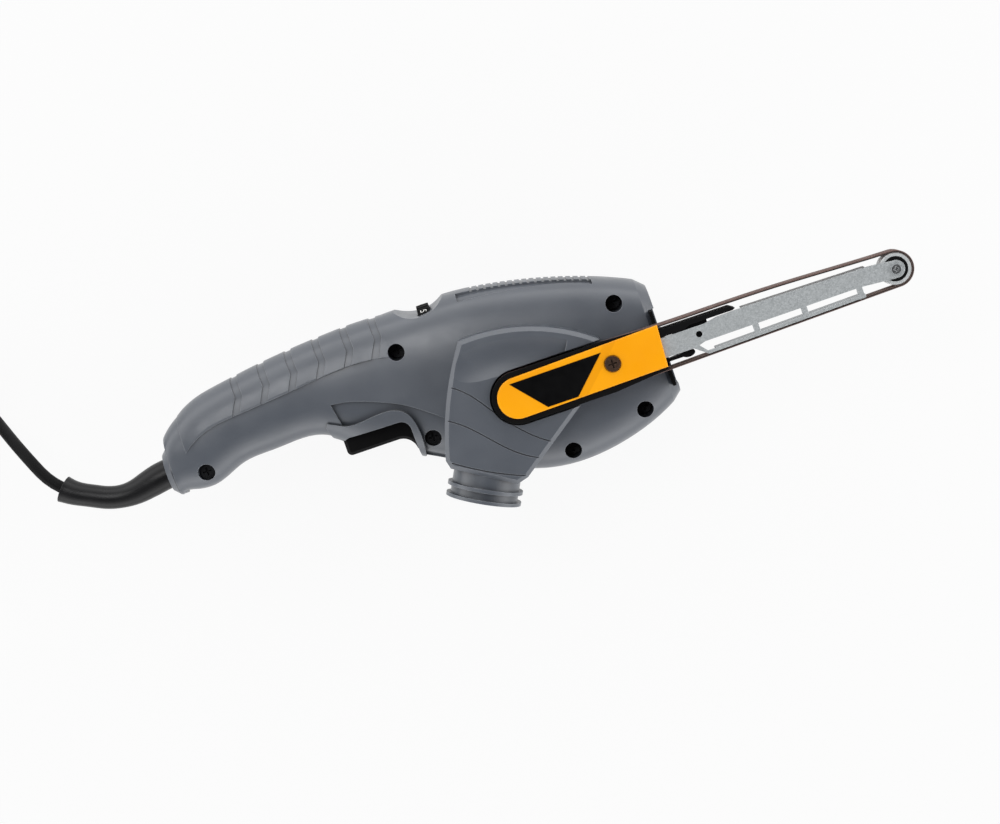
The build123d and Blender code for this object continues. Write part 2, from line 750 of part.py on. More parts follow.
# Belt carrier, screwed to the right half inside the belt loop
rail_inner = arm_high + slide_gap
rail_outer = carrier_half_height - 1.3
guard_plate_z = belt_top_z + slide_gap
spring_axis_z = 83.2
spring_pocket_half = 3.6
spring_start_x = 55.6
carrier_end_x = front_x
with BuildPart() as belt_carrier:
    add(
        box(
            (carrier_start_x, -carrier_half_height, pad_z),
            (carrier_end_x, carrier_half_height, carrier_top_z),
        )
    )
    add(
        box(
            (carrier_start_x, -carrier_half_height, carrier_top_z),
            (guard_plate_end_x, carrier_half_height, guard_plate_z),
        )
    )
    with BuildSketch(Plane.XY.offset(guard_plate_z)):
        Circle(guard_plate_radius)
        Polygon(
            (0, guard_plate_radius),
            (guard_plate_end_x, guard_plate_radius),
            (guard_tip_x, guard_tip_high),
            (guard_tip_x, guard_tip_low),
            (guard_plate_end_x, -guard_plate_radius),
            (0, -guard_plate_radius),
            align=None,
        )
        with Locations((guard_plate_end_x + guard_tip_x / 2, (rail_inner + arm_low - slide_gap) / 2)):
            Rectangle(guard_tip_x, rail_inner - arm_low + slide_gap, mode=Mode.SUBTRACT)
    extrude(amount=cover_z - touch_gap - guard_plate_z)
    rail_top_z = cover_z - touch_gap
    add(box((guard_plate_end_x, rail_inner, carrier_top_z), (carrier_end_x, rail_outer, rail_top_z)))
    low_rail_top = arm_low - slide_gap
    add(box((guard_plate_end_x, -rail_outer, carrier_top_z), (carrier_end_x - 4, low_rail_top, rail_top_z)))
    with BuildSketch(Plane.XY.offset(belt_z + 2)):
        with BuildLine():
            Polyline(
                (carrier_end_x - 3, rail_inner),
                (finger_end_x - 27, rail_inner),
                (finger_end_x - 24, rail_inner + 1.5),
                (finger_end_x - 1.5, rail_inner + 1.5),
                (finger_end_x, rail_inner + 2.2),
                (finger_end_x - 2.5, carrier_half_height - 0.1),
                (carrier_end_x - 3, carrier_half_height),
                close=True,
            )
        make_face()
    extrude(amount=rail_top_z - belt_z - 2)
    add(
        box(
            (finger_end_x - 33, -1.3, belt_top_z - 6),
            (finger_end_x - 15, rail_inner + 2, carrier_top_z),
        )
    )
    add(
        box(
            (front_plate_x, front_plate_low, split_z + 3),
            (front_plate_x + front_plate_thickness, front_plate_high, pad_z),
        )
    )
    add(post(cover_screw_point, 2 * screw_radius, carrier_top_z, rail_top_z))
    add(
        box(
            (spring_start_x, -spring_pocket_half, spring_axis_z - 4),
            (carrier_end_x + 1, spring_pocket_half, carrier_top_z + 1),
        ),
        mode=Mode.SUBTRACT,
    )
    add(
        box(
            (lever_pivot[0] - 6, -carrier_half_height - 1, lever_z - slide_gap),
            (carrier_end_x + 1, arm_low + 0.2, lever_z + lever_thickness + slide_gap),
        ),
        mode=Mode.SUBTRACT,
    )
    add(
        box((guard_tip_x, -carrier_half_height - 1, pad_z - 1), (carrier_end_x + 1, arm_low, cover_z)),
        mode=Mode.SUBTRACT,
    )
    pin_top = lever_z + lever_thickness + 1
    add(post(lever_pivot, lever_pin_radius + seat_gap, lever_z - 2, pin_top), mode=Mode.SUBTRACT)
    add(post(cover_screw_point, screw_radius + seat_gap, rail_top_z - 12, rail_top_z), mode=Mode.SUBTRACT)
    for point in carrier_screw_points:
        add(post(point, screw_radius + running_gap, pad_z - 1, cover_top_z), mode=Mode.SUBTRACT)
        add(post(point, screw_recess_radius, carrier_top_z - 4, cover_top_z), mode=Mode.SUBTRACT)

with BuildPart() as carrier_screws:
    seat = carrier_top_z - 4
    for point in carrier_screw_points:
        reach = seat - front_bearing_z - 3
        add(screw(point, seat, reach, screw_head_radius, screw_head_height, screw_radius))

# Belt cover, its label and its screw
with BuildSketch() as cover_outline:
    Circle(cover_radius)
    with BuildLine():
        Polyline(
            (0, cover_radius),
            (cover_end_x, cover_end_high),
            (cover_end_x - 1.2, cover_end_low),
            (0, -cover_radius),
            close=True,
        )
    make_face()
with BuildPart() as belt_cover:
    add(upright(cover_outline.sketch, cover_z, cover_top_z))
    fillet(belt_cover.edges().group_by(Axis.Z)[-1], 0.6)
    add(post(cover_screw_point, screw_radius + running_gap, cover_z - 1, cover_top_z), mode=Mode.SUBTRACT)
    add(post(cover_screw_point, screw_recess_radius, cover_top_z - 0.8, cover_top_z + 1), mode=Mode.SUBTRACT)

with BuildPart() as cover_label:
    with BuildSketch(Plane.XY.offset(cover_top_z)):
        Polygon((-2.0, 7.8), (45.6, 8.1), (28.3, -8.9), (12.6, -8.9), align=None)
    extrude(amount=decal_thickness)

with BuildPart() as cover_screw:
    add(screw(cover_screw_point, cover_top_z - 0.8, 11, screw_head_radius, 1.6, screw_radius))

# Belt arm: a stamped strip with a folded top edge and a platen behind the lower run of the belt
platen_x = 96.0
platen_end_x = axle_x - 18
platen_height = 1.6


def platen_low(x):
    """Lower face of the platen, just inside the belt."""
    return slide_gap - belt_inner_height(x)


def platen_strip(start):
    """The platen's outline from a start place to its end."""
    return Polygon(
        (start, platen_low(start)),
        (platen_end_x, platen_low(platen_end_x)),
        (platen_end_x, platen_low(platen_end_x) + platen_height),
        (start, platen_low(start) + platen_height),
        align=None,
    )


with BuildPart() as belt_arm:
    with BuildSketch(Plane.XY.offset(arm_z)):
        Polygon(
            (tongue_x, arm_low),
            (91.0, arm_low),
            (96.0, -3.4),
            (axle_x - 19, -2.9),
            (axle_x - 1, -4.4),
            (axle_x - 1, 4.4),
            (axle_x - 12, 5.6),
            (118.0, 6.5),
            (finger_end_x - 10, 6.2),
            (finger_end_x - 17, arm_high),
            (tongue_x, arm_high),
            align=None,
        )
        with Locations((axle_x, 0)):
            Circle(4.4)
        platen_strip(platen_x)
        Polygon(
            (89.5, arm_low),
            (platen_x, platen_low(platen_x)),
            (platen_x, platen_low(platen_x) + platen_height),
            (92.5, arm_low + 0.8),
            align=None,
        )
        for bridge_x in (122.0, 147.0, axle_x - 20):
            with Locations((bridge_x, -5.5)):
                Rectangle(3.0, 6.0)
        with Locations((axle_x, 0)):
            Circle(axle_radius + seat_gap, mode=Mode.SUBTRACT)
        with Locations((94.3, 0.9)):
            Circle(1.6, mode=Mode.SUBTRACT)
    extrude(amount=arm_thickness)
    with BuildSketch(Plane.XY.offset(arm_z - flange_depth)):
        Polygon(
            (finger_end_x + 3, 6.5 - arm_thickness),
            (axle_x - 14, 5.7 - arm_thickness),
            (axle_x - 14, 5.7),
            (finger_end_x + 3, 6.5),
            align=None,
        )
        platen_strip(platen_x + 4)
    extrude(amount=flange_depth)
    add(box((74.0, -3.2, spring_axis_z - 3.2), (74.0 + arm_thickness, 3.2, arm_z)))

tension_length = 74.0 - spring_start_x - 2 * slide_gap - 0.9
with BuildPart() as tension_spring:
    add(
        helix_tube(
            (spring_start_x + slide_gap + 0.45, 0, spring_axis_z),
            (1, 0, 0),
            (0, 1, 0),
            coil_radius=2.6,
            wire_radius=0.45,
            length=tension_length,
            turns=7,
        )
    )

# Idler roller on its axle at the arm's tip
clip_z = roller_z - slide_gap - 0.8
with BuildPart() as idler_axle:
    add(post((axle_x, 0), axle_radius, clip_z - 0.6, arm_z + arm_thickness))
    add(post((axle_x, 0), axle_head_radius, arm_z + arm_thickness, arm_z + arm_thickness + 1.2))
    with BuildSketch(Plane.XY.offset(arm_z + arm_thickness + 0.3)):
        with Locations((axle_x, 0)):
            Rectangle(axle_head_radius, 0.8)
            Rectangle(0.8, axle_head_radius)
    extrude(amount=1.0, mode=Mode.SUBTRACT)
with BuildPart() as axle_clip:
    add(post((axle_x, 0), 3.9, clip_z, clip_z + 0.8))
    add(post((axle_x, 0), axle_radius + seat_gap, clip_z - 1, clip_z + 2), mode=Mode.SUBTRACT)
with BuildPart() as idler_roller:
    add(post((axle_x, 0), idler_radius, roller_z, roller_z + roller_width))
    chamfer(idler_roller.edges().filter_by(GeomType.CIRCLE), 0.4)
    add(post((axle_x, 0), bush_radius + seat_gap, roller_z - 1, belt_top_z + 1), mode=Mode.SUBTRACT)
with BuildPart() as idler_bush:
    add(post((axle_x, 0), bush_radius, roller_z, roller_z + roller_width))
    add(post((axle_x, 0), axle_radius + running_gap, roller_z - 1, belt_top_z + 1), mode=Mode.SUBTRACT)

# Release lever under the arm, on a pin in the carrier
lever_high = lever_pivot[1] + 0.8
with BuildPart() as release_lever:
    with BuildSketch(Plane.XY.offset(lever_z)):
        Polygon(
            (lever_pivot[0] - 3.5, lever_pivot[1] - 1.9),
            (lever_pivot[0] + 8, lever_pivot[1] - 1.6),
            (lever_pivot[0] + 11, lever_pivot[1] - 0.6),
            (lever_tab[0], lever_tab[1] - 1.0),
            (lever_tab[0], lever_tab[1] + 1.2),
            (lever_pivot[0] + 13, lever_high),
            (lever_pivot[0] - 3.5, lever_high),
            align=None,
        )
        with Locations(lever_pivot):
            Circle(1.9)
        with Locations(lever_tab):
            Ellipse(3.4, 1.9)
        with Locations(lever_pivot):
            Circle(lever_pin_radius - 0.4 + running_gap, mode=Mode.SUBTRACT)
    extrude(amount=lever_thickness)
with BuildPart() as lever_pin:
    add(post(lever_pivot, lever_pin_radius - 0.4, lever_z - 1.8, lever_z + lever_thickness + 0.9))
    add(post(lever_pivot, lever_pin_radius, lever_z - 1.8, lever_z - slide_gap))

# Abrasive belt round both rollers


def belt_loop(grow):
    """The loop that a belt takes round both rollers, as a sketch."""
    with BuildSketch() as loop:
        Circle(drive_radius + grow)
        with Locations((axle_x, 0)):
            Circle(idler_radius + grow)
        make_hull()
    return loop.sketch


with BuildPart() as abrasive_belt:
    add(upright(belt_loop(belt_gap + belt_thickness), belt_z, belt_top_z))
    add(upright(belt_loop(belt_gap), belt_z - 1, belt_top_z + 1), mode=Mode.SUBTRACT)

# Motor
shaft_end_z = roller_z + 7.4
thread_radius = 3.0
nut_height = 4.0
with BuildPart() as motor_shaft:
    add(post((0, 0), shaft_radius, rear_bearing_z + 0.2, shaft_end_z))
    add(post((0, 0), thread_radius, shaft_end_z, shaft_end_z + nut_height + 0.6))
with BuildPart() as rear_bearing:
    add(ring(bearing_radius, shaft_radius + running_gap, rear_bearing_z, rear_bearing_z + bearing_width))
    chamfer(rear_bearing.edges().filter_by(GeomType.CIRCLE).group_by(SortBy.RADIUS)[-1], 0.4)
with BuildPart() as front_bearing:
    add(ring(bearing_radius, shaft_radius + running_gap, front_bearing_z, front_bearing_top))
    chamfer(front_bearing.edges().filter_by(GeomType.CIRCLE).group_by(SortBy.RADIUS)[-1], 0.4)
shaft_hole = shaft_radius + seat_gap
with BuildPart() as commutator:
    with BuildSketch(Plane.XY.offset(commutator_z)):
        Circle(commutator_radius)
        Circle(shaft_hole, mode=Mode.SUBTRACT)
        with PolarLocations(commutator_radius, 2 * armature_slots):
            Rectangle(1.6, 0.5, mode=Mode.SUBTRACT)
    extrude(amount=commutator_length)
slot_width = 3.2
slot_bottom = 8.5
with BuildPart() as armature_core:
    with BuildSketch(Plane.XY.offset(stack_z)):
        Circle(armature_radius)
        Circle(shaft_hole, mode=Mode.SUBTRACT)
        with PolarLocations((slot_bottom + armature_radius + 1) / 2, armature_slots):
            Rectangle(armature_radius + 1 - slot_bottom, slot_width, mode=Mode.SUBTRACT)
    extrude(amount=stack_length)
winding_radius = armature_radius - 0.8
bar_length = winding_radius - slot_bottom - touch_gap
with BuildPart() as armature_winding:
    add(ring(winding_radius, shaft_hole, stack_z - winding_overhang, stack_z - touch_gap))
    stack_top = stack_z + stack_length
    add(ring(winding_radius, shaft_hole, stack_top + touch_gap, stack_top + winding_overhang))
    with BuildSketch(Plane.XY.offset(stack_z - 2 * touch_gap)):
        with PolarLocations(slot_bottom + touch_gap + bar_length / 2, armature_slots):
            Rectangle(bar_length, slot_width - 2 * touch_gap)
    extrude(amount=stack_length + 4 * touch_gap)
fan_plate = 1.5
with BuildPart() as motor_fan:
    add(ring(fan_radius, shaft_hole, fan_z + fan_height - fan_plate, fan_z + fan_height))
    add(ring(2 * shaft_radius, shaft_hole, fan_z, fan_z + fan_height))
    with BuildSketch(Plane.XY.offset(fan_z)):
        with PolarLocations((2 * shaft_radius + fan_radius) / 2 - 0.4, fan_blades):
            Rectangle(fan_radius - 2 * shaft_radius, 1.4)
    extrude(amount=fan_height - fan_plate)
with BuildPart() as drive_roller:
    add(post((0, 0), drive_radius, roller_z, roller_z + roller_width))
    chamfer(drive_roller.edges().filter_by(GeomType.CIRCLE), 0.4)
    add(post((0, 0), shaft_hole, roller_z - 1, shaft_end_z), mode=Mode.SUBTRACT)
    add(post((0, 0), 2 * shaft_radius, shaft_end_z, belt_top_z + 1), mode=Mode.SUBTRACT)
with BuildPart() as roller_nut:
    with BuildSketch(Plane.XY.offset(shaft_end_z)):
        RegularPolygon(5.8, 6)
        Circle(thread_radius + seat_gap, mode=Mode.SUBTRACT)
    extrude(amount=nut_height)

# Stator, with a coil round each of its two poles
window_inner, window_outer = 19.5, 24.5
coil_span = 75
coil_edge = 38
bore = armature_radius + air_gap
with BuildPart() as stator_core:
    with BuildSketch(Plane.XY.offset(stack_z)):
        Circle(stator_radius)
        Circle(bore, mode=Mode.SUBTRACT)
        for middle in (90, 270):
            add(sector(window_inner, window_outer, middle - 55, 110), mode=Mode.SUBTRACT)
            add(sector(bore - 1, window_outer, middle - 32, 64), mode=Mode.SUBTRACT)
    extrude(amount=stack_length)
coil_inner, coil_outer = window_inner + touch_gap, window_outer - touch_gap
with BuildPart() as field_coils:
    for middle in (0, 180):
        for low in (stack_z - winding_overhang + 1, stack_top + touch_gap):
            turn = sector(coil_inner, coil_outer, middle - coil_span, 2 * coil_span)
            add(upright(turn, low, low + winding_overhang - 1 - touch_gap))
        for side in (coil_edge, -coil_span):
            leg = sector(coil_inner, coil_outer, middle + side, coil_span - coil_edge)
            add(upright(leg, stack_z - 2 * touch_gap, stack_top + 2 * touch_gap))

# Brush gear on each side of the commutator
brush_z = commutator_z + commutator_length / 2
brush_half = 3.0
brush_tip = commutator_radius + slide_gap
holder_inner = commutator_radius + 3
with BuildPart() as brush_holders:
    for side in (1, -1):
        ends = sorted((side * holder_inner, side * (barrel_inner - 1)))
        add(box((ends[0], -5, brush_z - 5), (ends[1], 5, brush_z + 5)))
        hole = sorted((side * (holder_inner - 1), side * (barrel_inner - 3)))
        reach = brush_half + running_gap
        add(box((hole[0], -reach, brush_z - reach), (hole[1], reach, brush_z + reach)), mode=Mode.SUBTRACT)
with BuildPart() as carbon_brushes:
    for side in (1, -1):
        ends = sorted((side * brush_tip, side * (brush_tip + 11)))
        add(box((ends[0], -brush_half, brush_z - brush_half), (ends[1], brush_half, brush_z + brush_half)))

# Trigger, with lips that hold it in the housing and a pocket for its spring
spring_point = (-86.0, split_z)
spring_pocket_radius = 3.4
lip_low = pocket_top + wall + 0.5
with BuildPart() as trigger:
    with BuildSketch(Plane.XY.offset(split_z - trigger_width / 2)):
        with BuildLine():
            front = trigger_front_x
            base = Polyline(
                (front - 0.4, trigger_low - 7.3),
                (front, trigger_low - 7.3),
                (front, trigger_high),
                (trigger_rear_x, trigger_high),
                (trigger_rear_x, trigger_low + trigger_corner),
            )
            corner = TangentArc(base @ 1, (trigger_rear_x + trigger_corner, trigger_low), tangent=(0, -1))
            pull = Line(corner @ 1, (front - 8.4, trigger_low))
            TangentArc(pull @ 1, base @ 0, tangent=(1, 0))
        make_face()
    extrude(amount=trigger_width)
    chamfer(trigger.edges().filter_by(Axis.X).group_by(Axis.Y)[1], trigger_bevel)
    add(
        box(
            (trigger_rear_x + 4.5, lip_low, split_z - lip_width / 2),
            (front - 3, trigger_high, split_z + lip_width / 2),
        )
    )
    pocket_mouth = (spring_point[0], trigger_high, spring_point[1])
    with BuildSketch(Plane(pocket_mouth, x_dir=(1, 0, 0), z_dir=(0, -1, 0))):
        Circle(spring_pocket_radius)
    extrude(amount=9.0, mode=Mode.SUBTRACT)
spring_base = (spring_point[0], trigger_high - 9.0 + 0.6, spring_point[1])
with BuildPart() as trigger_spring:
    add(
        helix_tube(
            spring_base, (0, 1, 0), (1, 0, 0), 2.6, 0.4, switch_low[1] - spring_base[1] - 0.6, 7
        )
    )
plunger_low = (-80.0, trigger_high, split_z - 3)
plunger_high = (-72.0, switch_low[1] + 1, split_z + 3)
with BuildPart() as switch_plunger:
    add(box(plunger_low, plunger_high))
with BuildPart() as switch_body:
    add(box(switch_low, switch_high))
    chamfer(switch_body.edges().filter_by(Axis.Z), 1.0)
    add(
        box(
            (plunger_low[0] - slide_gap, switch_low[1] - 1, plunger_low[2] - slide_gap),
            (plunger_high[0] + slide_gap, plunger_high[1] + trigger_travel + 1, plunger_high[2] + slide_gap),
        ),
        mode=Mode.SUBTRACT,
    )
with BuildPart() as suppression_capacitor:
    add(box((switch_high[0] + touch_gap, 21.0, split_z - 6), (switch_high[0] + 8, 31.0, split_z + 6)))
    fillet(suppression_capacitor.edges().filter_by(Axis.X), 1.0)

# Speed dial on the potentiometer of the speed board
dial_shaft_radius = 3.0
dial_near = dial_centre[0] - dial_width / 2
dial_far = dial_centre[0] + dial_width / 2
pot_length = board_x - touch_gap - dial_far - slide_gap
with BuildPart() as speed_dial:
    add(along_x(dial_centre[1], dial_radius, dial_near, dial_far))
    with BuildSketch(Plane((dial_near, dial_centre[1], split_z), x_dir=(0, 1, 0), z_dir=(1, 0, 0))):
        with PolarLocations(dial_radius + 0.2, 30):
            Circle(0.6)
    extrude(amount=dial_width, mode=Mode.SUBTRACT)
    add(along_x(dial_centre[1], dial_shaft_radius, dial_far, dial_far + pot_length - 1))
with BuildPart() as dial_potentiometer:
    add(along_x(dial_centre[1], 5.4, dial_far + slide_gap, board_x - touch_gap))
    add(
        along_x(dial_centre[1], dial_shaft_radius + running_gap, dial_far, board_x - 1),
        mode=Mode.SUBTRACT,
    )
with BuildPart() as speed_board:
    half = board_half_width
    add(box((board_x, board_low, split_z - half), (board_x + board_thickness, board_high, split_z + half)))
    back = board_x + board_thickness
    add(box((back, board_low + 2, split_z - 8), (back + 6, board_low + 10, split_z + 2)))
    add(box((back, board_low + 13, split_z + 1), (back + 9, board_low + 16, split_z + 9)))

# Cord guard, clamp and the cord's inner end
turn_start = Vector(cos(radians(coil_heading)), sin(radians(coil_heading)), 0)
coil_z = floor_gap + tie_thickness + touch_gap + cord_radius
coil_entry = Vector(coil_start[0], coil_start[1], coil_z)
lead_end = coil_entry - turn_start * (2 * cord_radius)
floor_point = lead_end - turn_start * 35
lead_points = [Vector(*point) for point in route] + [floor_point, lead_end]
lead_runs = [end - start for start, end in zip(lead_points, lead_points[1:])]
lead_radii = []
for before, after in zip(lead_runs, lead_runs[1:]):
    turn = radians(before.get_angle(after))
    lead_radii.append(0.45 * min(before.length, after.length) / tan(turn / 2))
print("cord radii", [round(radius, 1) for radius in lead_radii])
with BuildLine() as lead_line:
    FilletPolyline(*lead_points, radius=lead_radii)
lead_path = lead_line.wire()


def across_lead(distance):
    """Plane across the cord's lead, a distance from its start."""
    share = distance / lead_path.length
    return Plane(origin=lead_path @ share, x_dir=(0, 0, 1), z_dir=lead_path % share)


def sleeve(sections):
    """A round sleeve along the cord's lead, through (distance, radius) sections."""
    with BuildPart() as form:
        for distance, radius in sections:
            with BuildSketch(across_lead(distance)):
                Circle(radius)
        loft()
    return form.part


guard_length = 68.0
guard_waist = 5.9
guard_mouth = 7.0
guard_steps = 17
guard_sections = []
for step in range(guard_steps + 1):
    share = step / guard_steps
    narrowing = (1 + cos(pi * min(1, max(0, (share - 0.2) / 0.4)))) / 2
    neck = guard_waist + (guard_radius - guard_waist) * narrowing
    flare = (guard_mouth - guard_waist) * max(0, (share - 0.8) / 0.2) ** 2
    guard_sections.append((1 + (guard_length - 1) * share, neck + flare))
with BuildPart() as cord_guard:
    add(sleeve(guard_sections))
    with BuildSketch(across_lead(0.2)):
        Circle(9.4)
    extrude(amount=2.2)
    with BuildSketch(across_lead(0)):
        Circle(cord_radius + 0.4)
    sweep(path=lead_path, mode=Mode.SUBTRACT)
    mouth_flare = [(guard_length - 12, cord_radius + 0.3), (guard_length + 0.5, guard_mouth - 1.1)]
    add(sleeve(mouth_flare), mode=Mode.SUBTRACT)

with BuildPart() as mains_cord:
    with BuildSketch(across_lead(0)):
        Circle(cord_radius)
    sweep(path=lead_path)
print("cord lead", round(lead_path.length, 1), "volume share", round(
    mains_cord.part.volume / (pi * cord_radius**2 * lead_path.length), 4
))

tail_points = [
    (route[0][0] + 2 * slide_gap, cord_exit_y, split_z),
    (route[0][0] + 2.4, cord_exit_y, split_z),
    (-164.5, tail_y, tail_z),
    (switch_low[0] - touch_gap, tail_y, tail_z),
]
with BuildPart() as cord_tail:
    with BuildLine() as tail_line:
        FilletPolyline(*tail_points, radius=3.0)
    with BuildSketch(Plane(origin=tail_points[0], z_dir=tail_line.wire() % 0)):
        Circle(tail_radius)
    sweep(path=tail_line.wire())

clamp_low, clamp_high = clamp_posts[0] - 3.7, clamp_posts[1] + 3.7
with BuildPart() as cord_clamp:
    add(
        box(
            (clamp_x - clamp_width / 2, clamp_low, clamp_z),
            (clamp_x + clamp_width / 2, clamp_high, clamp_z + clamp_thickness),
        )
    )
    fillet(cord_clamp.edges().filter_by(Axis.Z), 2.0)
    for y in clamp_posts:
        add(post((clamp_x, y), screw_radius - 0.35, 0, 2 * split_z), mode=Mode.SUBTRACT)
with BuildPart() as clamp_screws:
    head_z = clamp_z + clamp_thickness
    for y in clamp_posts:
        reach = clamp_thickness + 8
        add(screw((clamp_x, y), head_z, reach, screw_head_radius - 0.8, 1.8, screw_radius - 0.42))

# Coil of the cord's length, wound in and out again in two layers
coil_outer_radius = coil_inner_radius + coil_pitch * coil_turns / 2
start_angle = radians(coil_heading - 90)
coil_centre = coil_entry - Vector(cos(start_angle), sin(start_angle), 0) * coil_outer_radius


def coil_point(turn):
    """Point on the coil's centre line, counted in turns from its start."""
    from_middle = turn - coil_turns / 2
    radius = coil_inner_radius + coil_pitch * abs(from_middle)
    climb = min(1, max(0, (from_middle + 0.25) / 0.5))
    rise = coil_layer_step * (1 - cos(pi * climb)) / 2
    angle = start_angle + 2 * pi * turn
    return coil_centre + Vector(radius * cos(angle), radius * sin(angle), rise)


def coil_tangent(turn):
    """Direction of the coil's centre line."""
    step = 0.001
    return (coil_point(turn + step) - coil_point(turn - step)).normalized()


quarters = [quarter / 4 for quarter in range(int(coil_turns * 4) + 1)]
coil_points = [coil_point(turn) for turn in quarters]
coil_tangents = [coil_tangent(turn) for turn in quarters]
coil_tangents[0] = turn_start
tail_way = Vector(coil_tangents[-1].X, coil_tangents[-1].Y, 0).normalized()
plug_axis_z = 7.2
tail_end = coil_points[-1] + tail_way * 30
coil_points.append(Vector(tail_end.X, tail_end.Y, plug_axis_z))
coil_tangents.append((tail_way + Vector(0, 0, -0.002)).normalized())
plug_lead = 2 * cord_radius
with BuildPart() as cord_coil:
    add(wound_tube(coil_points, coil_tangents, cord_radius, plug_lead, plug_lead))

samples_per_turn = 72
samples = [coil_point(step / samples_per_turn) for step in range(int(coil_turns * samples_per_turn) + 1)]
least = min(
    (first - second).length
    for index, first in enumerate(samples)
    for second in samples[index + samples_per_turn // 2 :]
)
coil_length = cord_coil.part.volume / pi / cord_radius**2
print("coil gap", round(least - 2 * cord_radius, 2), "coil length", round(coil_length))

tie_angle = start_angle + radians(100)
tie_way = Vector(cos(tie_angle), sin(tie_angle), 0)
tie_inner = coil_inner_radius - cord_radius - coil_pitch / 4
tie_outer = coil_outer_radius + cord_radius + coil_pitch / 4
tie_top = coil_z + coil_layer_step + cord_radius + touch_gap
with BuildPart() as cord_tie:
    tie_middle = coil_centre + tie_way * (tie_inner + tie_outer) / 2
    tie_plane = Plane(
        origin=(tie_middle.X, tie_middle.Y, (floor_gap + tie_top + tie_thickness) / 2),
        x_dir=tie_way,
        z_dir=(-sin(tie_angle), cos(tie_angle), 0),
    )
    with BuildSketch(tie_plane):
        opening = tie_outer - tie_inner
        RectangleRounded(opening + 2 * tie_thickness, tie_top + tie_thickness - floor_gap, 2.5)
        RectangleRounded(opening, tie_top - tie_thickness - floor_gap, 1.6, mode=Mode.SUBTRACT)
    extrude(amount=5, both=True)

# Mains plug beside the coil
plug_entry = coil_points[-1] + coil_tangents[-1] * plug_lead
plug_plane = Plane(
    origin=(plug_entry.X, plug_entry.Y, plug_axis_z), x_dir=(-tail_way.Y, tail_way.X, 0), z_dir=tail_way
)
plug_width, plug_thickness, plug_length, relief_length = 24.0, 13.0, 30.0, 16.0
pin_spacing, pin_radius, pin_length = 18.6, 2.0, 19.0
with BuildPart() as plug_body:
    with BuildSketch(plug_plane.offset(relief_length)):
        RectangleRounded(plug_width, plug_thickness, 5.0)
    extrude(amount=plug_length)
    fillet(plug_body.edges().group_by(Axis(plug_plane.origin, plug_plane.z_dir))[-1], 1.0)
    for distance, radius in ((touch_gap, 4.4), (relief_length, 6.2)):
        with BuildSketch(plug_plane.offset(distance)):
            Circle(radius)
    loft()
    with BuildSketch(plug_plane.offset(relief_length + plug_length)):
        with Locations((-pin_spacing / 2, 0), (pin_spacing / 2, 0)):
            Circle(pin_radius + seat_gap)
    extrude(amount=-10, mode=Mode.SUBTRACT)
with BuildPart() as plug_pins:
    with BuildSketch(plug_plane.offset(relief_length + plug_length - 9)):
        with Locations((-pin_spacing / 2, 0), (pin_spacing / 2, 0)):
            Circle(pin_radius)
    extrude(amount=pin_length + 9)
    fillet(plug_pins.edges().group_by(Axis(plug_plane.origin, plug_plane.z_dir))[-1], 1.2)

pieces = {
    "housing_left": housing_left,
    "housing_right": housing_right,
    "housing_screws": housing_screws,
    "dust_shroud": dust_shroud,
    "belt_carrier": belt_carrier,
    "carrier_screws": carrier_screws,
    "belt_cover": belt_cover,
    "cover_label": cover_label,
    "cover_screw": cover_screw,
    "belt_arm": belt_arm,
    "tension_spring": tension_spring,
    "idler_axle": idler_axle,
    "axle_clip": axle_clip,
    "idler_roller": idler_roller,
    "idler_bush": idler_bush,
    "release_lever": release_lever,
    "lever_pin": lever_pin,
    "abrasive_belt": abrasive_belt,
    "motor_shaft": motor_shaft,
    "rear_bearing": rear_bearing,
    "front_bearing": front_bearing,
    "commutator": commutator,
    "armature_core": armature_core,
    "armature_winding": armature_winding,
    "motor_fan": motor_fan,
    "drive_roller": drive_roller,
    "roller_nut": roller_nut,
    "stator_core": stator_core,
    "field_coils": field_coils,
    "brush_holders": brush_holders,
    "carbon_brushes": carbon_brushes,
    "trigger": trigger,
    "trigger_spring": trigger_spring,
    "switch_plunger": switch_plunger,
    "switch_body": switch_body,
    "suppression_capacitor": suppression_capacitor,
    "speed_dial": speed_dial,
    "dial_potentiometer": dial_potentiometer,
    "speed_board": speed_board,
    "cord_guard": cord_guard,
    "cord_tail": cord_tail,
    "cord_clamp": cord_clamp,
    "clamp_screws": clamp_screws,
    "mains_cord": mains_cord,
    "cord_coil": cord_coil,
    "cord_tie": cord_tie,
    "plug_body": plug_body,
    "plug_pins": plug_pins,
}
for label, piece in pieces.items():
    piece.part.label = label
    export_step(piece.part, f"parts/{label}.step")
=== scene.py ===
"""Narrow-belt hand sander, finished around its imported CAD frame.

Sizes of the pieces are in millimetres, times mm where Blender takes metres. The lead's length and the sizes
of finishes, lamps and floor are in metres.
"""

import json
from math import acos, cos, pi, radians, sin

import bmesh
import bpy
from mathutils import Matrix, Vector


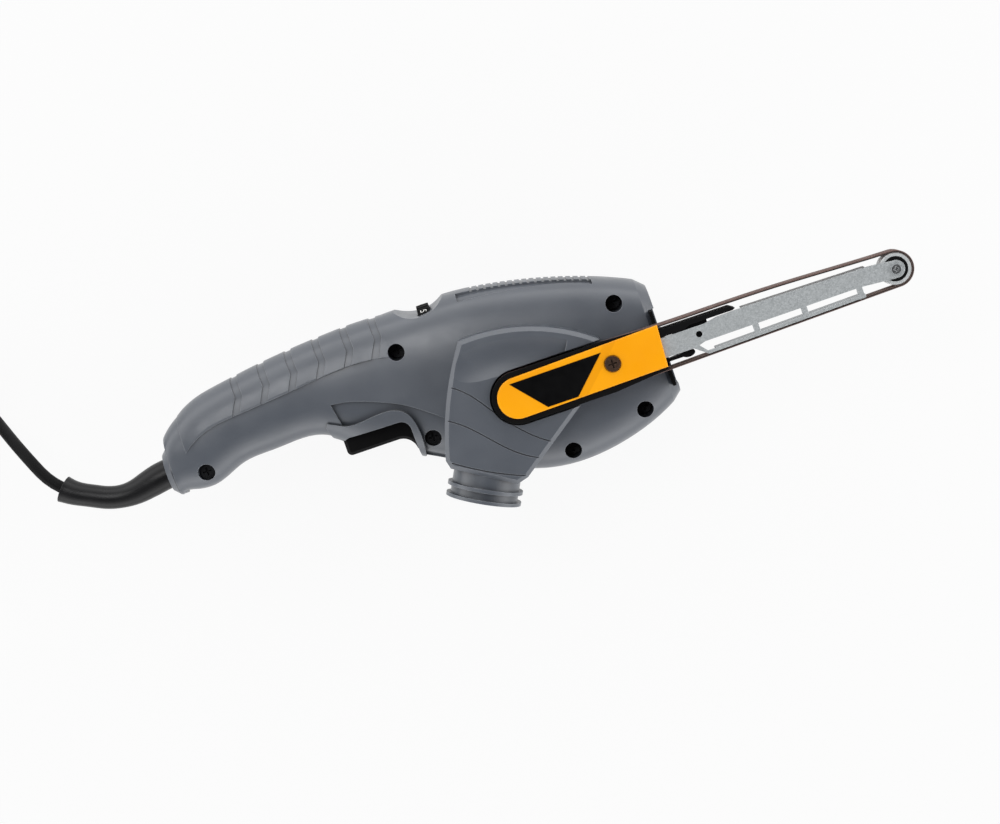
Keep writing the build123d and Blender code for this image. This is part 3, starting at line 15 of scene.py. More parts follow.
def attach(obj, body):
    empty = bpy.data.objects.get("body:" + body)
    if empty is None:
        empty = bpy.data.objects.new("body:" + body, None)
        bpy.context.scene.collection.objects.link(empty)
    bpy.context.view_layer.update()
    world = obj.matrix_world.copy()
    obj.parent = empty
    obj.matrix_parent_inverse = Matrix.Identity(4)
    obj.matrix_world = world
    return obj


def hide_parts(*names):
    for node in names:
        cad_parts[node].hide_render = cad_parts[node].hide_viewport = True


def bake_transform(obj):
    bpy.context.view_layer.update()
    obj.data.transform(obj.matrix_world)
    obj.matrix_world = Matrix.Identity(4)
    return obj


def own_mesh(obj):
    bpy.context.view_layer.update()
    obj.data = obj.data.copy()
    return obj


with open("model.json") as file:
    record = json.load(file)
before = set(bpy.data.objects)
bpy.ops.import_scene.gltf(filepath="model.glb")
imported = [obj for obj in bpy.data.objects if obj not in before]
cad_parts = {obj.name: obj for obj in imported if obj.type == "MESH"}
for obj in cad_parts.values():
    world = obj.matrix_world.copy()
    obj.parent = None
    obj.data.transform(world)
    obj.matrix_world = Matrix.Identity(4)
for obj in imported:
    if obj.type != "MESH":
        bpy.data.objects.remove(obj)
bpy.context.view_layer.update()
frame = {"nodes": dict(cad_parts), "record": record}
nodes = frame["nodes"]
mm = 0.001

# Camera of the photograph: where it looks, from where, and which way is up in the picture
look_at = Vector((-10.7, -3.8, 90.0)) * mm
camera_place = Vector((33.4, 124.7, 1382.9)) * mm
picture_up = Vector((0.324, 0.946, 0.0))
lens = 95.0
sensor_width = 36.0

# Mains lead: its route from the handle to the floor, then the coil of the rest of it
lead_radius = 3.1
lead_route = [
    (-171.5, 17.3, 47.0),
    (-184.0, 17.0, 47.0),
    (-208.8, 11.6, 47.0),
    (-238.7, 26.4, 47.0),
    (-251.6, 51.2, 38.0),
    (-266.909, 73.285, 4.7),
    (-278.879, 106.174, 4.7),
]
lead_round_steps = 6
lead_run_steps = 6
coil_entry = Vector((-281.0, 112.0, 4.7))
coil_heading = radians(110)
coil_turns = 7.5
coil_pitch = 6.7
coil_inner_radius = 24.5
coil_layer_step = 6.7
coil_climb_turns = 0.5
coil_points_per_turn = 16
plug_axis_z = 7.2
plug_run = 30.0
plug_lead = 6.2

# Tie round the coil
tie_turn = radians(100)
tie_width = 10.0
tie_thickness = 0.9
tie_corner = 2.0
tie_corner_steps = 6
tie_edge_radius = 0.3
tie_room_beside = coil_pitch / 4
tie_room_above = 0.1
tie_floor_gap = 0.6

# Abrasive belt round its two rollers
drive_radius = 11.8
idler_radius = 8.05
axle_x = 195.713
belt_gap = 0.13
belt_thickness = 1.0
belt_low = 75.5
belt_width = 13.0
belt_edge_radius = 0.2
belt_bow = 0.9
bow_start = 70.0
# Width over which the belt's edges go from painted shade to grit
edge_shade_fade = 0.1
flat_edge_slope = 0.8
strand_steps = 60
arc_steps = 40

# Springs: wire, winding, place, and the share of the length that is left when pressed
spring_radius = 2.6
spring_turns = 7.0
spring_steps = 28
wire_sides = 10
tension_wire = 0.45
tension_start = Vector((56.35, 0.0, 83.2))
tension_length = 16.9
trigger_wire = 0.4
trigger_spring_start = Vector((-86.0, 4.6, 47.0))
trigger_spring_length = 13.8

# Speed dial numbers. The mark is the rim's point where one of them shows in the photograph
dial_centre = Vector((-32.0, 42.7, 47.0))
dial_radius = 14.0
dial_numbers = "123456"
dial_sweep = radians(270)
mark_turn = radians(52)
number_at_mark = "5"
number_height = 3.4
font_size_per_height = 1.4
number_depth = 0.04

# Darker band beside the cover's label: the way across it, its middle along that way, half width and soft edge
band_across = (0.70, -0.714, 0.0)
band_middle = 27.8
band_half = 2.5
band_fade = 0.4

# Finishes: waves to the metre of drawn lines, and sizes of edges, pits and threads
round_lines = (900.0, 900.0, 2600.0)
rolled_lines = (160.0, 1500.0, 1500.0)
metal_edge = 0.0003
metal_depth = 0.00002
cover_edge = 0.0004
# crevice_reach: how far from a corner the painted shade reaches
crevice_reach = 0.004
thread_pitch = 0.0006
wire_pitch = 0.0007
sheet_pitch = 0.001

# Floor: its size, how far it lies under the tool, its grey, and the share of plain white that the camera sees
floor_half = 6.0
floor_drop = 0.0006
floor_grey = 0.75
floor_white = 0.9

# Lamps: name, place, size and watts. They face one point
lamps = [
    ("key", (-0.35, 0.6, 1.45), 0.7, 5.0),
    ("fill", (1.3, -0.15, 0.75), 0.9, 4.0),
]
lamp_aim = Vector((0, 0, 0.05))

# Light of the surroundings at the sides and overhead, and the heights between which it changes
side_light = 2.0
overhead_light = 0.1
sky_heights = (0.3, 0.85)


# Shader helpers
def linear(code):
    """Linear colour of a six-figure screen colour."""
    shares = [int(code[i : i + 2], 16) / 255 for i in (0, 2, 4)]
    return [s / 12.92 if s <= 0.04045 else ((s + 0.055) / 1.055) ** 2.4 for s in shares] + [1.0]


def add_node(tree, kind, inputs=None, **settings):
    """A new node with its settings. Each input is a value or another node's output."""
    made = tree.nodes.new(kind)
    for name, value in settings.items():
        setattr(made, name, value)
    for key, value in (inputs or {}).items():
        if isinstance(value, bpy.types.NodeSocket):
            tree.links.new(value, made.inputs[key])
        else:
            made.inputs[key].default_value = value
    return made


def maths(tree, operation, first, second=0.0):
    """One step of arithmetic."""
    return add_node(tree, "ShaderNodeMath", {0: first, 1: second}, operation=operation).outputs[0]


def dot(tree, first, second):
    """How far one vector reaches along another."""
    product = add_node(tree, "ShaderNodeVectorMath", {0: first, 1: second}, operation="DOT_PRODUCT")
    return product.outputs["Value"]


def along(tree, place, axis):
    """One of a place's three values, by the name of its axis."""
    return add_node(tree, "ShaderNodeSeparateXYZ", {"Vector": place}).outputs[axis]


def spread(tree, value, found, wanted=(0.0, 1.0)):
    """A value moved from the range it is found in to the one that is wanted, and held inside it."""
    inputs = {
        "Value": value,
        "From Min": found[0],
        "From Max": found[1],
        "To Min": wanted[0],
        "To Max": wanted[1],
    }
    return add_node(tree, "ShaderNodeMapRange", inputs).outputs["Result"]


def blend_colours(tree, share, first, second):
    """Two colours mixed by a share."""
    inputs = {"Factor": share, 6: first, 7: second}
    return add_node(tree, "ShaderNodeMix", inputs, data_type="RGBA").outputs[2]


def shade_between(tree, share, low, high):
    """A colour between two screen colours, by a share."""
    return blend_colours(tree, share, linear(low), linear(high))


def tinted(tree, share, colour, tint):
    """A colour that goes to a screen colour by a share."""
    return blend_colours(tree, share, colour, linear(tint))


def noise(tree, place, scale, detail=2.0, roughness=0.5):
    """Soft noise between 0 and 1, on a place."""
    inputs = {"Vector": place, "Scale": scale, "Detail": detail, "Roughness": roughness}
    return add_node(tree, "ShaderNodeTexNoise", inputs).outputs["Fac"]


def cells(tree, place, scale):
    """Small cells with a colour each, and the distance from their middles."""
    return add_node(tree, "ShaderNodeTexVoronoi", {"Vector": place, "Scale": scale}).outputs


def ripples(tree, value, pitch):
    """Waves of one pitch along a value, between -1 and 1."""
    return maths(tree, "SINE", maths(tree, "MULTIPLY", value, 2 * pi / pitch))


def new_group(name, kind, inputs, outputs):
    """An empty group of nodes with named inputs and outputs."""
    tree = bpy.data.node_groups.new(name, kind)
    for way, sockets in (("INPUT", inputs), ("OUTPUT", outputs)):
        for label, socket_kind in sockets.items():
            tree.interface.new_socket(name=label, in_out=way, socket_type=socket_kind)
    return tree, tree.nodes.new("NodeGroupInput").outputs, tree.nodes.new("NodeGroupOutput").inputs


def moulded_grain_group():
    """Fine spark-eroded grain of moulded plastic, with slow shade differences."""
    tree, given, result = new_group(
        "moulded grain",
        "ShaderNodeTree",
        {"Place": "NodeSocketVector", "Scale": "NodeSocketFloat"},
        {"Height": "NodeSocketFloat", "Shade": "NodeSocketFloat", "Smear": "NodeSocketFloat"},
    )
    place = given["Place"]
    fine = noise(tree, place, given["Scale"], detail=3.0, roughness=0.6)
    coarse = noise(tree, place, maths(tree, "MULTIPLY", given["Scale"], 0.27))
    slow = noise(tree, place, scale=34.0, detail=3.0, roughness=0.55)
    smear = noise(tree, place, scale=95.0, detail=4.0, roughness=0.65)
    shade = maths(tree, "ADD", maths(tree, "MULTIPLY", slow, 0.7), maths(tree, "MULTIPLY", fine, 0.3))
    tree.links.new(maths(tree, "ADD", fine, maths(tree, "MULTIPLY", coarse, 0.6)), result["Height"])
    tree.links.new(shade, result["Shade"])
    tree.links.new(smear, result["Smear"])
    return tree


def metal_finish_group():
    """Drawn lines, small pits and a slow tone of a plated or machined metal."""
    tree, given, result = new_group(
        "metal finish",
        "ShaderNodeTree",
        {"Place": "NodeSocketVector", "Line Scale": "NodeSocketVector"},
        {"Lines": "NodeSocketFloat", "Pits": "NodeSocketFloat", "Tone": "NodeSocketFloat"},
    )
    place = given["Place"]
    drawn = add_node(tree, "ShaderNodeVectorMath", {0: place, 1: given["Line Scale"]}, operation="MULTIPLY")
    lines = noise(tree, drawn.outputs[0], scale=1.0, detail=3.0, roughness=0.6)
    pits = spread(tree, noise(tree, place, scale=1500.0), (0.56, 0.72))
    tone = noise(tree, place, scale=60.0, detail=4.0, roughness=0.6)
    tree.links.new(lines, result["Lines"])
    tree.links.new(pits, result["Pits"])
    tree.links.new(tone, result["Tone"])
    return tree


def edge_and_crevice_group():
    """Where an edge stands out and where a corner lies deep, with the edges rounded in shading. The edge mask
    gives rubbing and painted highlight; the corner mask is ambient occlusion, for painted shade.
    """
    tree, given, result = new_group(
        "edge and crevice",
        "ShaderNodeTree",
        {"Edge Size": "NodeSocketFloat", "Crevice Reach": "NodeSocketFloat"},
        {"Edge": "NodeSocketFloat", "Crevice": "NodeSocketFloat", "Normal": "NodeSocketVector"},
    )
    rounded = add_node(tree, "ShaderNodeBevel", {"Radius": given["Edge Size"]}, samples=6).outputs["Normal"]
    flat = tree.nodes.new("ShaderNodeNewGeometry").outputs["True Normal"]
    turned = spread(tree, dot(tree, rounded, flat), (0.98, 0.82))
    reach = {"Distance": given["Crevice Reach"]}
    sky = add_node(tree, "ShaderNodeAmbientOcclusion", reach, samples=8, only_local=True).outputs["AO"]
    # Edge mask: standing edges, lightened as rubbing and painted highlight
    tree.links.new(maths(tree, "MULTIPLY", turned, spread(tree, sky, (0.7, 0.92))), result["Edge"])
    # Crevice mask from ambient occlusion: painted shade
    tree.links.new(spread(tree, sky, (0.35, 0.92), (1.0, 0.0)), result["Crevice"])
    tree.links.new(rounded, result["Normal"])
    return tree


moulded_grain = moulded_grain_group()
metal_finish = metal_finish_group()
edge_and_crevice = edge_and_crevice_group()


def use_group(tree, group, inputs):
    """A shader group placed in a material."""
    return add_node(tree, "ShaderNodeGroup", inputs, node_tree=group).outputs


def edges_of(tree, size):
    """Masks of the piece's edges, for rubbing and painted highlight, and of its crevices, for painted shade,
    with edges of a size.
    """
    return use_group(tree, edge_and_crevice, {"Edge Size": size, "Crevice Reach": crevice_reach})


def new_material(name):
    """A material with its tree, its shader and the place on the piece."""
    material = bpy.data.materials.new(name)
    material.use_nodes = True
    tree = material.node_tree
    place = tree.nodes.new("ShaderNodeTexCoord").outputs["Object"]
    return material, tree, tree.nodes["Principled BSDF"], place


def dress(tree, shader, colour, roughness):
    """Gives the shader its colour and its roughness."""
    tree.links.new(colour, shader.inputs["Base Color"])
    tree.links.new(roughness, shader.inputs["Roughness"])


def bump(tree, shader, height, strength, depth, normal=None):
    """Bumps the shader's surface, on top of another normal where one is given."""
    inputs = {"Height": height, "Strength": strength, "Distance": depth}
    if normal:
        inputs["Normal"] = normal
    tree.links.new(add_node(tree, "ShaderNodeBump", inputs).outputs["Normal"], shader.inputs["Normal"])


def rubbed_lit_and_shaded(tree, colour, edges, rubbed_and_lit, crevice_shade, rubbed_and_lit_share, crevice_shade_share):
    """A colour that goes to a lighter shade on standing edges, as rubbing and painted highlight, and to a
    darker one in crevices, as painted shade.
    """
    # Edges lightened: partly rubbing, partly painted highlight
    colour = tinted(tree, maths(tree, "MULTIPLY", edges["Edge"], rubbed_and_lit_share), colour, rubbed_and_lit)
    # Crevices darkened by ambient occlusion: painted shade
    return tinted(tree, maths(tree, "MULTIPLY", edges["Crevice"], crevice_shade_share), colour, crevice_shade)


# Finishes
def moulded_plastic(
    name, shades, gloss, grain=2200.0, depth=0.00006, edge=0.0005, rubbed_and_lit_share=0.4, crevice_shade_share=0.5, specular=0.5
):
    """Moulded plastic between two shades, with a third on its edges as rubbing and painted highlight, and a
    fourth in its corners as painted shade.
    """
    low, high, rubbed_and_lit, crevice_shade = shades
    material, tree, shader, place = new_material(name)
    grains = use_group(tree, moulded_grain, {"Place": place, "Scale": grain})
    edges = edges_of(tree, edge)
    colour = shade_between(tree, spread(tree, grains["Shade"], (0.32, 0.68)), low, high)
    colour = rubbed_lit_and_shaded(tree, colour, edges, rubbed_and_lit, crevice_shade, rubbed_and_lit_share, crevice_shade_share)
    dress(tree, shader, colour, spread(tree, grains["Smear"], (0.3, 0.7), gloss))
    shader.inputs["Specular IOR Level"].default_value = specular
    bump(tree, shader, grains["Height"], strength=0.3, depth=depth, normal=edges["Normal"])
    return material


def plated_metal(name, low, high, gloss, metallic=1.0):
    """Metal with turned lines, small pits and a tone that changes slowly, lighter on its edges as rubbing and
    painted highlight, with painted shade in its corners.
    """
    material, tree, shader, place = new_material(name)
    finish = use_group(tree, metal_finish, {"Place": place, "Line Scale": round_lines})
    edges = edges_of(tree, metal_edge)
    tone = spread(tree, maths(tree, "ADD", finish["Tone"], finish["Lines"]), (0.7, 1.3))
    colour = shade_between(tree, tone, low, high)
    colour = rubbed_lit_and_shaded(tree, colour, edges, rubbed_and_lit=high, crevice_shade=low, rubbed_and_lit_share=0.6, crevice_shade_share=0.5)
    rough = maths(tree, "ADD", finish["Lines"], maths(tree, "MULTIPLY", finish["Pits"], 0.3))
    dress(tree, shader, colour, spread(tree, rough, (0.3, 0.9), gloss))
    shader.inputs["Metallic"].default_value = metallic
    height = maths(tree, "SUBTRACT", finish["Lines"], maths(tree, "MULTIPLY", finish["Pits"], 0.8))
    bump(tree, shader, height, strength=0.25, depth=metal_depth, normal=edges["Normal"])
    return material


def zinc_sheet():
    """Zinc-plated sheet steel: fine spangles, speckles and rolled lines, bright on its cut edges as rubbing
    and painted highlight, with painted shade in its corners.
    """
    material, tree, shader, place = new_material("zinc_sheet")
    finish = use_group(tree, metal_finish, {"Place": place, "Line Scale": rolled_lines})
    edges = edges_of(tree, metal_edge)
    spangle = cells(tree, place, scale=1700.0)["Color"]
    grey = add_node(tree, "ShaderNodeSeparateColor", {"Color": spangle}).outputs["Red"]
    speckle = noise(tree, place, scale=2600.0, detail=3.0, roughness=0.7)
    mixed = maths(tree, "ADD", maths(tree, "MULTIPLY", grey, 0.5), speckle)
    colour = shade_between(tree, spread(tree, mixed, (0.3, 1.2)), "a4a9ab", "c6cacc")
    colour = tinted(tree, maths(tree, "MULTIPLY", finish["Pits"], 0.3), colour, "84898b")
    colour = rubbed_lit_and_shaded(tree, colour, edges, rubbed_and_lit="d2d5d6", crevice_shade="5d6164", rubbed_and_lit_share=0.7, crevice_shade_share=0.6)
    dress(tree, shader, colour, spread(tree, mixed, (0.35, 1.15), (0.42, 0.6)))
    shader.inputs["Metallic"].default_value = 0.5
    height = maths(tree, "SUBTRACT", maths(tree, "ADD", finish["Lines"], grey), finish["Pits"])
    bump(tree, shader, height, strength=0.25, depth=metal_depth, normal=edges["Normal"])
    return material


def painted_cover():
    """Yellow lacquer with a faint orange-peel surface and a darker band beside the label, lighter on its
    edges as rubbing and painted highlight, with painted shade in its corners.
    """
    material, tree, shader, place = new_material("painted_cover")
    edges = edges_of(tree, cover_edge)
    tone = spread(tree, noise(tree, place, scale=25.0), (0.35, 0.65))
    colour = shade_between(tree, tone, "f8a002", "fdaa05")
    off_middle = maths(tree, "SUBTRACT", dot(tree, place, band_across), band_middle * mm)
    from_middle = maths(tree, "ABSOLUTE", off_middle)
    in_band = spread(tree, from_middle, (band_half * mm, (band_half - band_fade) * mm), (0.0, 0.35))
    colour = tinted(tree, in_band, colour, "e08c02")
    colour = rubbed_lit_and_shaded(tree, colour, edges, rubbed_and_lit="ffd06a", crevice_shade="b87405", rubbed_and_lit_share=0.5, crevice_shade_share=0.4)
    smear = noise(tree, place, scale=180.0, detail=3.0)
    dress(tree, shader, colour, spread(tree, smear, (0.3, 0.7), (0.34, 0.46)))
    shader.inputs["Specular IOR Level"].default_value = 0.25
    peel = noise(tree, place, scale=900.0, detail=1.0)
    bump(tree, shader, peel, strength=0.12, depth=0.00003, normal=edges["Normal"])
    return material


def cover_film():
    """Black satin film of the bare label."""
    material, tree, shader, place = new_material("cover_film")
    tone = spread(tree, noise(tree, place, scale=70.0, detail=3.0), (0.35, 0.65))
    smear = noise(tree, place, scale=260.0)
    colour = shade_between(tree, tone, "040405", "09090a")
    dress(tree, shader, colour, spread(tree, smear, (0.3, 0.7), (0.34, 0.46)))
    shader.inputs["Specular IOR Level"].default_value = 0.1
    bump(tree, shader, noise(tree, place, scale=3200.0), strength=0.1, depth=0.00002)
    return material


def abrasive_grit():
    """Brown abrasive grains on the outside of the belt, lighter in patches where the grains are rubbed down,
    and the inner half of its edges painted near-black as the shade between belt and roller.
    """
    material, tree, shader, place = new_material("abrasive_grit")
    grains = cells(tree, place, scale=2600.0)
    lit = add_node(tree, "ShaderNodeSeparateColor", {"Color": grains["Color"]}).outputs["Green"]
    patches = noise(tree, place, scale=140.0, detail=4.0, roughness=0.6)
    across_belt = add_node(tree, "ShaderNodeAttribute", attribute_name="belt_across").outputs["Fac"]
    colour = shade_between(tree, lit, "47332d", "6f5650")
    colour = tinted(tree, spread(tree, patches, (0.5, 0.75), (0.0, 0.4)), colour, "85706a")
    # Inner half of the belt's edges painted near-black: painted shade of the gap between belt and roller
    colour = blend_colours(tree, spread(tree, across_belt, (0.0, edge_shade_fade * mm)), linear("1c1715"), colour)
    dress(tree, shader, colour, spread(tree, lit, (0.0, 1.0), (0.6, 0.9)))
    bump(tree, shader, maths(tree, "SUBTRACT", 1.0, grains["Distance"]), strength=0.8, depth=0.00012)
    return material


def belt_cloth():
    """Tan cloth backing of the belt, woven along and across it."""
    material, tree, shader, place = new_material("belt_cloth")
    run = add_node(tree, "ShaderNodeAttribute", attribute_name="belt_run").outputs["Fac"]
    warp = ripples(tree, run, thread_pitch)
    weft = ripples(tree, along(tree, place, "Z"), thread_pitch)
    weave = maths(tree, "MULTIPLY", warp, weft)
    uneven = maths(tree, "ADD", weave, noise(tree, place, scale=300.0, detail=3.0))
    shade = spread(tree, uneven, (-0.8, 1.6))
    colour = shade_between(tree, shade, "5f4a43", "947a70")
    dress(tree, shader, colour, spread(tree, shade, (0.0, 1.0), (0.75, 0.95)))
    bump(tree, shader, weave, strength=0.4, depth=0.00008)
    return material


def woven_tie():
    """Black hook-and-loop tape of the tie: short loops across a woven ground."""
    material, tree, shader, place = new_material("woven_tie")
    loops = cells(tree, place, scale=1300.0)["Distance"]
    uneven = maths(tree, "ADD", loops, noise(tree, place, scale=220.0, detail=3.0))
    shade = spread(tree, uneven, (0.4, 1.3))
    colour = shade_between(tree, shade, "101012", "2e2e31")
    dress(tree, shader, colour, spread(tree, shade, (0.0, 1.0), (0.8, 0.95)))
    shader.inputs["Sheen Weight"].default_value = 0.25
    bump(tree, shader, loops, strength=0.6, depth=0.0002)
    return material


def stacked_sheets(name, low, high):
    """Edges of thin stacked sheets, one line for each along the drive axis."""
    material, tree, shader, place = new_material(name)
    lines = ripples(tree, along(tree, place, "Z"), sheet_pitch)
    uneven = maths(tree, "ADD", lines, noise(tree, place, scale=400.0, detail=3.0))
    tone = spread(tree, uneven, (-0.8, 1.8))
    dress(tree, shader, shade_between(tree, tone, low, high), spread(tree, tone, (0.0, 1.0), (0.6, 0.4)))
    shader.inputs["Metallic"].default_value = 0.8
    bump(tree, shader, lines, strength=0.4, depth=0.00006)
    return material


def lacquered_wire(name, low, high):
    """Rows of lacquered wire in a winding."""
    material, tree, shader, place = new_material(name)
    wander = maths(tree, "MULTIPLY", noise(tree, place, scale=250.0), 0.4 * wire_pitch)
    across = maths(tree, "ADD", dot(tree, place, (1.0, 0.6, 0.8)), wander)
    rows = ripples(tree, across, wire_pitch)
    tone = spread(tree, rows, (-1.0, 1.0))
    dress(tree, shader, shade_between(tree, tone, low, high), spread(tree, tone, (0.0, 1.0), (0.5, 0.28)))
    shader.inputs["Metallic"].default_value = 0.6
    bump(tree, shader, rows, strength=0.5, depth=0.0001)
    return material


# Plastic shades: two for the tone, a lighter one for edges as rubbing and painted highlight, a darker one for
# crevices as painted shade
soft_black = ("070708", "0d0d0e", "1d1d1f", "030303")
deep_black = ("060607", "0c0c0d", "1c1c1e", "030303")
finishes = {
    # Grey housing: strong painted highlight on its edges and strong painted shade in its corners
    "grey_plastic": moulded_plastic(
        "grey_plastic",
        ("4e535b", "565b63", "9da1a9", "22252a"),
        (0.28, 0.4),
        edge=0.0004,
        rubbed_and_lit_share=0.8,
        crevice_shade_share=0.75,
        specular=0.9,
    ),
    "black_plastic": moulded_plastic("black_plastic", soft_black, (0.5, 0.64), specular=0.11),
    "switch_plastic": moulded_plastic(
        "switch_plastic", ("1c1d20", "292a2e", "3b3c41", "0c0c0d"), (0.4, 0.55)
    ),
    "fan_plastic": moulded_plastic("fan_plastic", ("d0cdc2", "dedbd0", "f0eee6", "8f8c82"), (0.4, 0.55)),
    "film_yellow": moulded_plastic(
        "film_yellow", ("d8b83a", "e6c84c", "f0dc86", "8f7718"), (0.3, 0.42), grain=1400.0
    ),
    "board_green": moulded_plastic(
        "board_green", ("1d5a3a", "2a6f48", "5a9a76", "0e2f1e"), (0.3, 0.45), grain=900.0
    ),
    "carbon": moulded_plastic("carbon", ("1a1a1b", "2c2c2e", "454548", "0c0c0c"), (0.55, 0.75), grain=1700.0),
    "roller_rubber": moulded_plastic(
        "roller_rubber", ("151515", "222223", "343435", "0a0a0a"), (0.65, 0.85), grain=1500.0, depth=0.0001
    ),
    "cord_rubber": moulded_plastic(
        "cord_rubber", deep_black, (0.44, 0.58), grain=1900.0, depth=0.00004, specular=0.13
    ),
    "roller_grey": plated_metal("roller_grey", "c4c8c9", "d8dbdc", (0.4, 0.56), metallic=0.3),
    "steel": plated_metal("steel", "a4a7aa", "c2c5c8", (0.22, 0.4)),
    "black_steel": plated_metal("black_steel", "17171a", "28292c", (0.3, 0.5), metallic=0.7),
    "bronze": plated_metal("bronze", "9b6a35", "b98549", (0.3, 0.45)),
    "copper": lacquered_wire("copper", "8a3f20", "c77345"),
    "lamination": stacked_sheets("lamination", "55585c", "8f9397"),
    "pin_nickel": plated_metal("pin_nickel", "b7b3a8", "d6d2c8", (0.15, 0.3)),
    "zinc": zinc_sheet(),
    "yellow_cover": painted_cover(),
    "label_black": cover_film(),
    "abrasive": abrasive_grit(),
    "tie_fabric": woven_tie(),
}
cloth = belt_cloth()
number_ink = moulded_plastic(
    "number_ink",
    ("dededa", "eeeeea", "f6f6f2", "b8b8b4"),
    (0.45, 0.6),
    grain=1800.0,
    depth=0.00002,
    edge=0.0001,
)

# Each CAD node takes the finish of its slot
for part in frame["record"]["subparts"]:
    for slot in nodes[part["node"]].material_slots:
        slot.material = finishes[part["material_slot"]]

# Two pieces that look a little different from the rest of their slot
nodes["cover_screw"].material_slots[0].material = plated_metal(
    "browned_steel", "34241b", "523c2e", (0.4, 0.6), metallic=0.5
)
nodes["cord_guard"].material_slots[0].material = moulded_plastic(
    "guard_rubber",
    ("121213", "1b1b1d", "48484b", "050505"),
    (0.26, 0.38),
    grain=1900.0,
    depth=0.00003,
    specular=0.3,
)


# Camera
def place_camera():
    """The camera of the photograph."""
    data = bpy.data.cameras.new("camera")
    data.lens = lens
    data.sensor_width = sensor_width
    back = (camera_place - look_at).normalized()
    right = picture_up.cross(back).normalized()
    up = back.cross(right)
    camera = bpy.data.objects.new("camera", data)
    camera.matrix_world = Matrix.Translation(camera_place) @ Matrix((right, up, back)).transposed().to_4x4()
    bpy.context.scene.collection.objects.link(camera)
    bpy.context.scene.camera = camera


place_camera()


# Pieces
def link(piece):
    """Puts a new piece in the scene."""
    bpy.context.scene.collection.objects.link(piece)
    return piece


def plain_mesh(source, name):
    """The evaluated shape of an object as a piece of its own, at the origin. The source goes."""
    bpy.context.view_layer.update()
    shown = source.evaluated_get(bpy.context.evaluated_depsgraph_get())
    mesh = bpy.data.meshes.new_from_object(shown)
    mesh.transform(source.matrix_world)
    bpy.data.objects.remove(source)
    mesh.name = name
    return link(bpy.data.objects.new(name, mesh))


def grown(source, tree, values, name):
    """What a geometry tree makes of an object, as a plain mesh. Inputs go by their sockets' identifiers."""
    modifier = source.modifiers.new(name, "NODES")
    modifier.node_group = tree
    for item in tree.interface.items_tree:
        if item.in_out == "INPUT" and item.name in values:
            modifier[item.identifier] = values[item.name]
    return plain_mesh(source, name)


def swept(tree, line, section, finish, caps):
    """A section swept along a line, as a real smooth mesh with its finish."""
    sides = {"Curve": line, "Profile Curve": section, "Fill Caps": caps}
    mesh = add_node(tree, "GeometryNodeCurveToMesh", sides).outputs["Mesh"]
    real = add_node(tree, "GeometryNodeRealizeInstances", {"Geometry": mesh}).outputs["Geometry"]
    smooth = add_node(tree, "GeometryNodeSetShadeSmooth", {"Geometry": real}).outputs["Geometry"]
    inputs = {"Geometry": smooth, "Material": finish}
    return add_node(tree, "GeometryNodeSetMaterial", inputs).outputs["Geometry"]


# Mains lead
coil_outer_radius = coil_inner_radius + coil_pitch * coil_turns / 2
coil_start = coil_heading - pi / 2
coil_centre = coil_entry - Vector((cos(coil_start), sin(coil_start), 0)) * coil_outer_radius


def coil_point(turn):
    """Point on the coil, counted in turns from its start: in along the floor and out again on top."""
    from_middle = turn - coil_turns / 2
    radius = coil_inner_radius + coil_pitch * abs(from_middle)
    climb = min(1, max(0, (from_middle + coil_climb_turns / 2) / coil_climb_turns))
    rise = coil_layer_step * (1 - cos(pi * climb)) / 2
    angle = coil_start + 2 * pi * turn
    return coil_centre + Vector((radius * cos(angle), radius * sin(angle), rise))


def mains_lead():
    """The lead on one smooth line, from the handle to its plug."""
    points = [Vector(point) for point in lead_route]
    last_step = int(coil_turns * coil_points_per_turn)
    points += [coil_point(step / coil_points_per_turn) for step in range(last_step + 1)]
    end_angle = coil_start + 2 * pi * coil_turns
    onward = Vector((-sin(end_angle), cos(end_angle), 0))
    coil_end = coil_point(coil_turns)
    landing = coil_end + onward * plug_run
    landing.z = plug_axis_z
    points += [coil_end + onward * plug_run / 3, landing, landing + onward * plug_lead]
    data = bpy.data.curves.new("mains_lead", "CURVE")
    data.dimensions = "3D"
    data.bevel_depth = lead_radius * mm
    data.bevel_resolution = lead_round_steps
    data.resolution_u = lead_run_steps
    data.use_fill_caps = True
    spline = data.splines.new("NURBS")
    spline.points.add(len(points) - 1)
    for target, point in zip(spline.points, points):
        target.co = [*(point * mm), 1.0]
    spline.order_u = 3
    spline.use_endpoint_u = True
    data.materials.append(finishes["cord_rubber"])
    return link(bpy.data.objects.new("mains_lead", data))


lead = mains_lead()
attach(lead, "housing")
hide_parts("mains_cord", "cord_coil")


# Bands that follow a closed line: the abrasive belt and the tie
def marked(tree, curve, name, value):
    """A curve that carries a value on its points, under a name."""
    inputs = {"Geometry": curve, "Name": name, "Value": value}
    kept = add_node(tree, "GeometryNodeStoreNamedAttribute", inputs, data_type="FLOAT", domain="POINT")
    return kept.outputs["Geometry"]


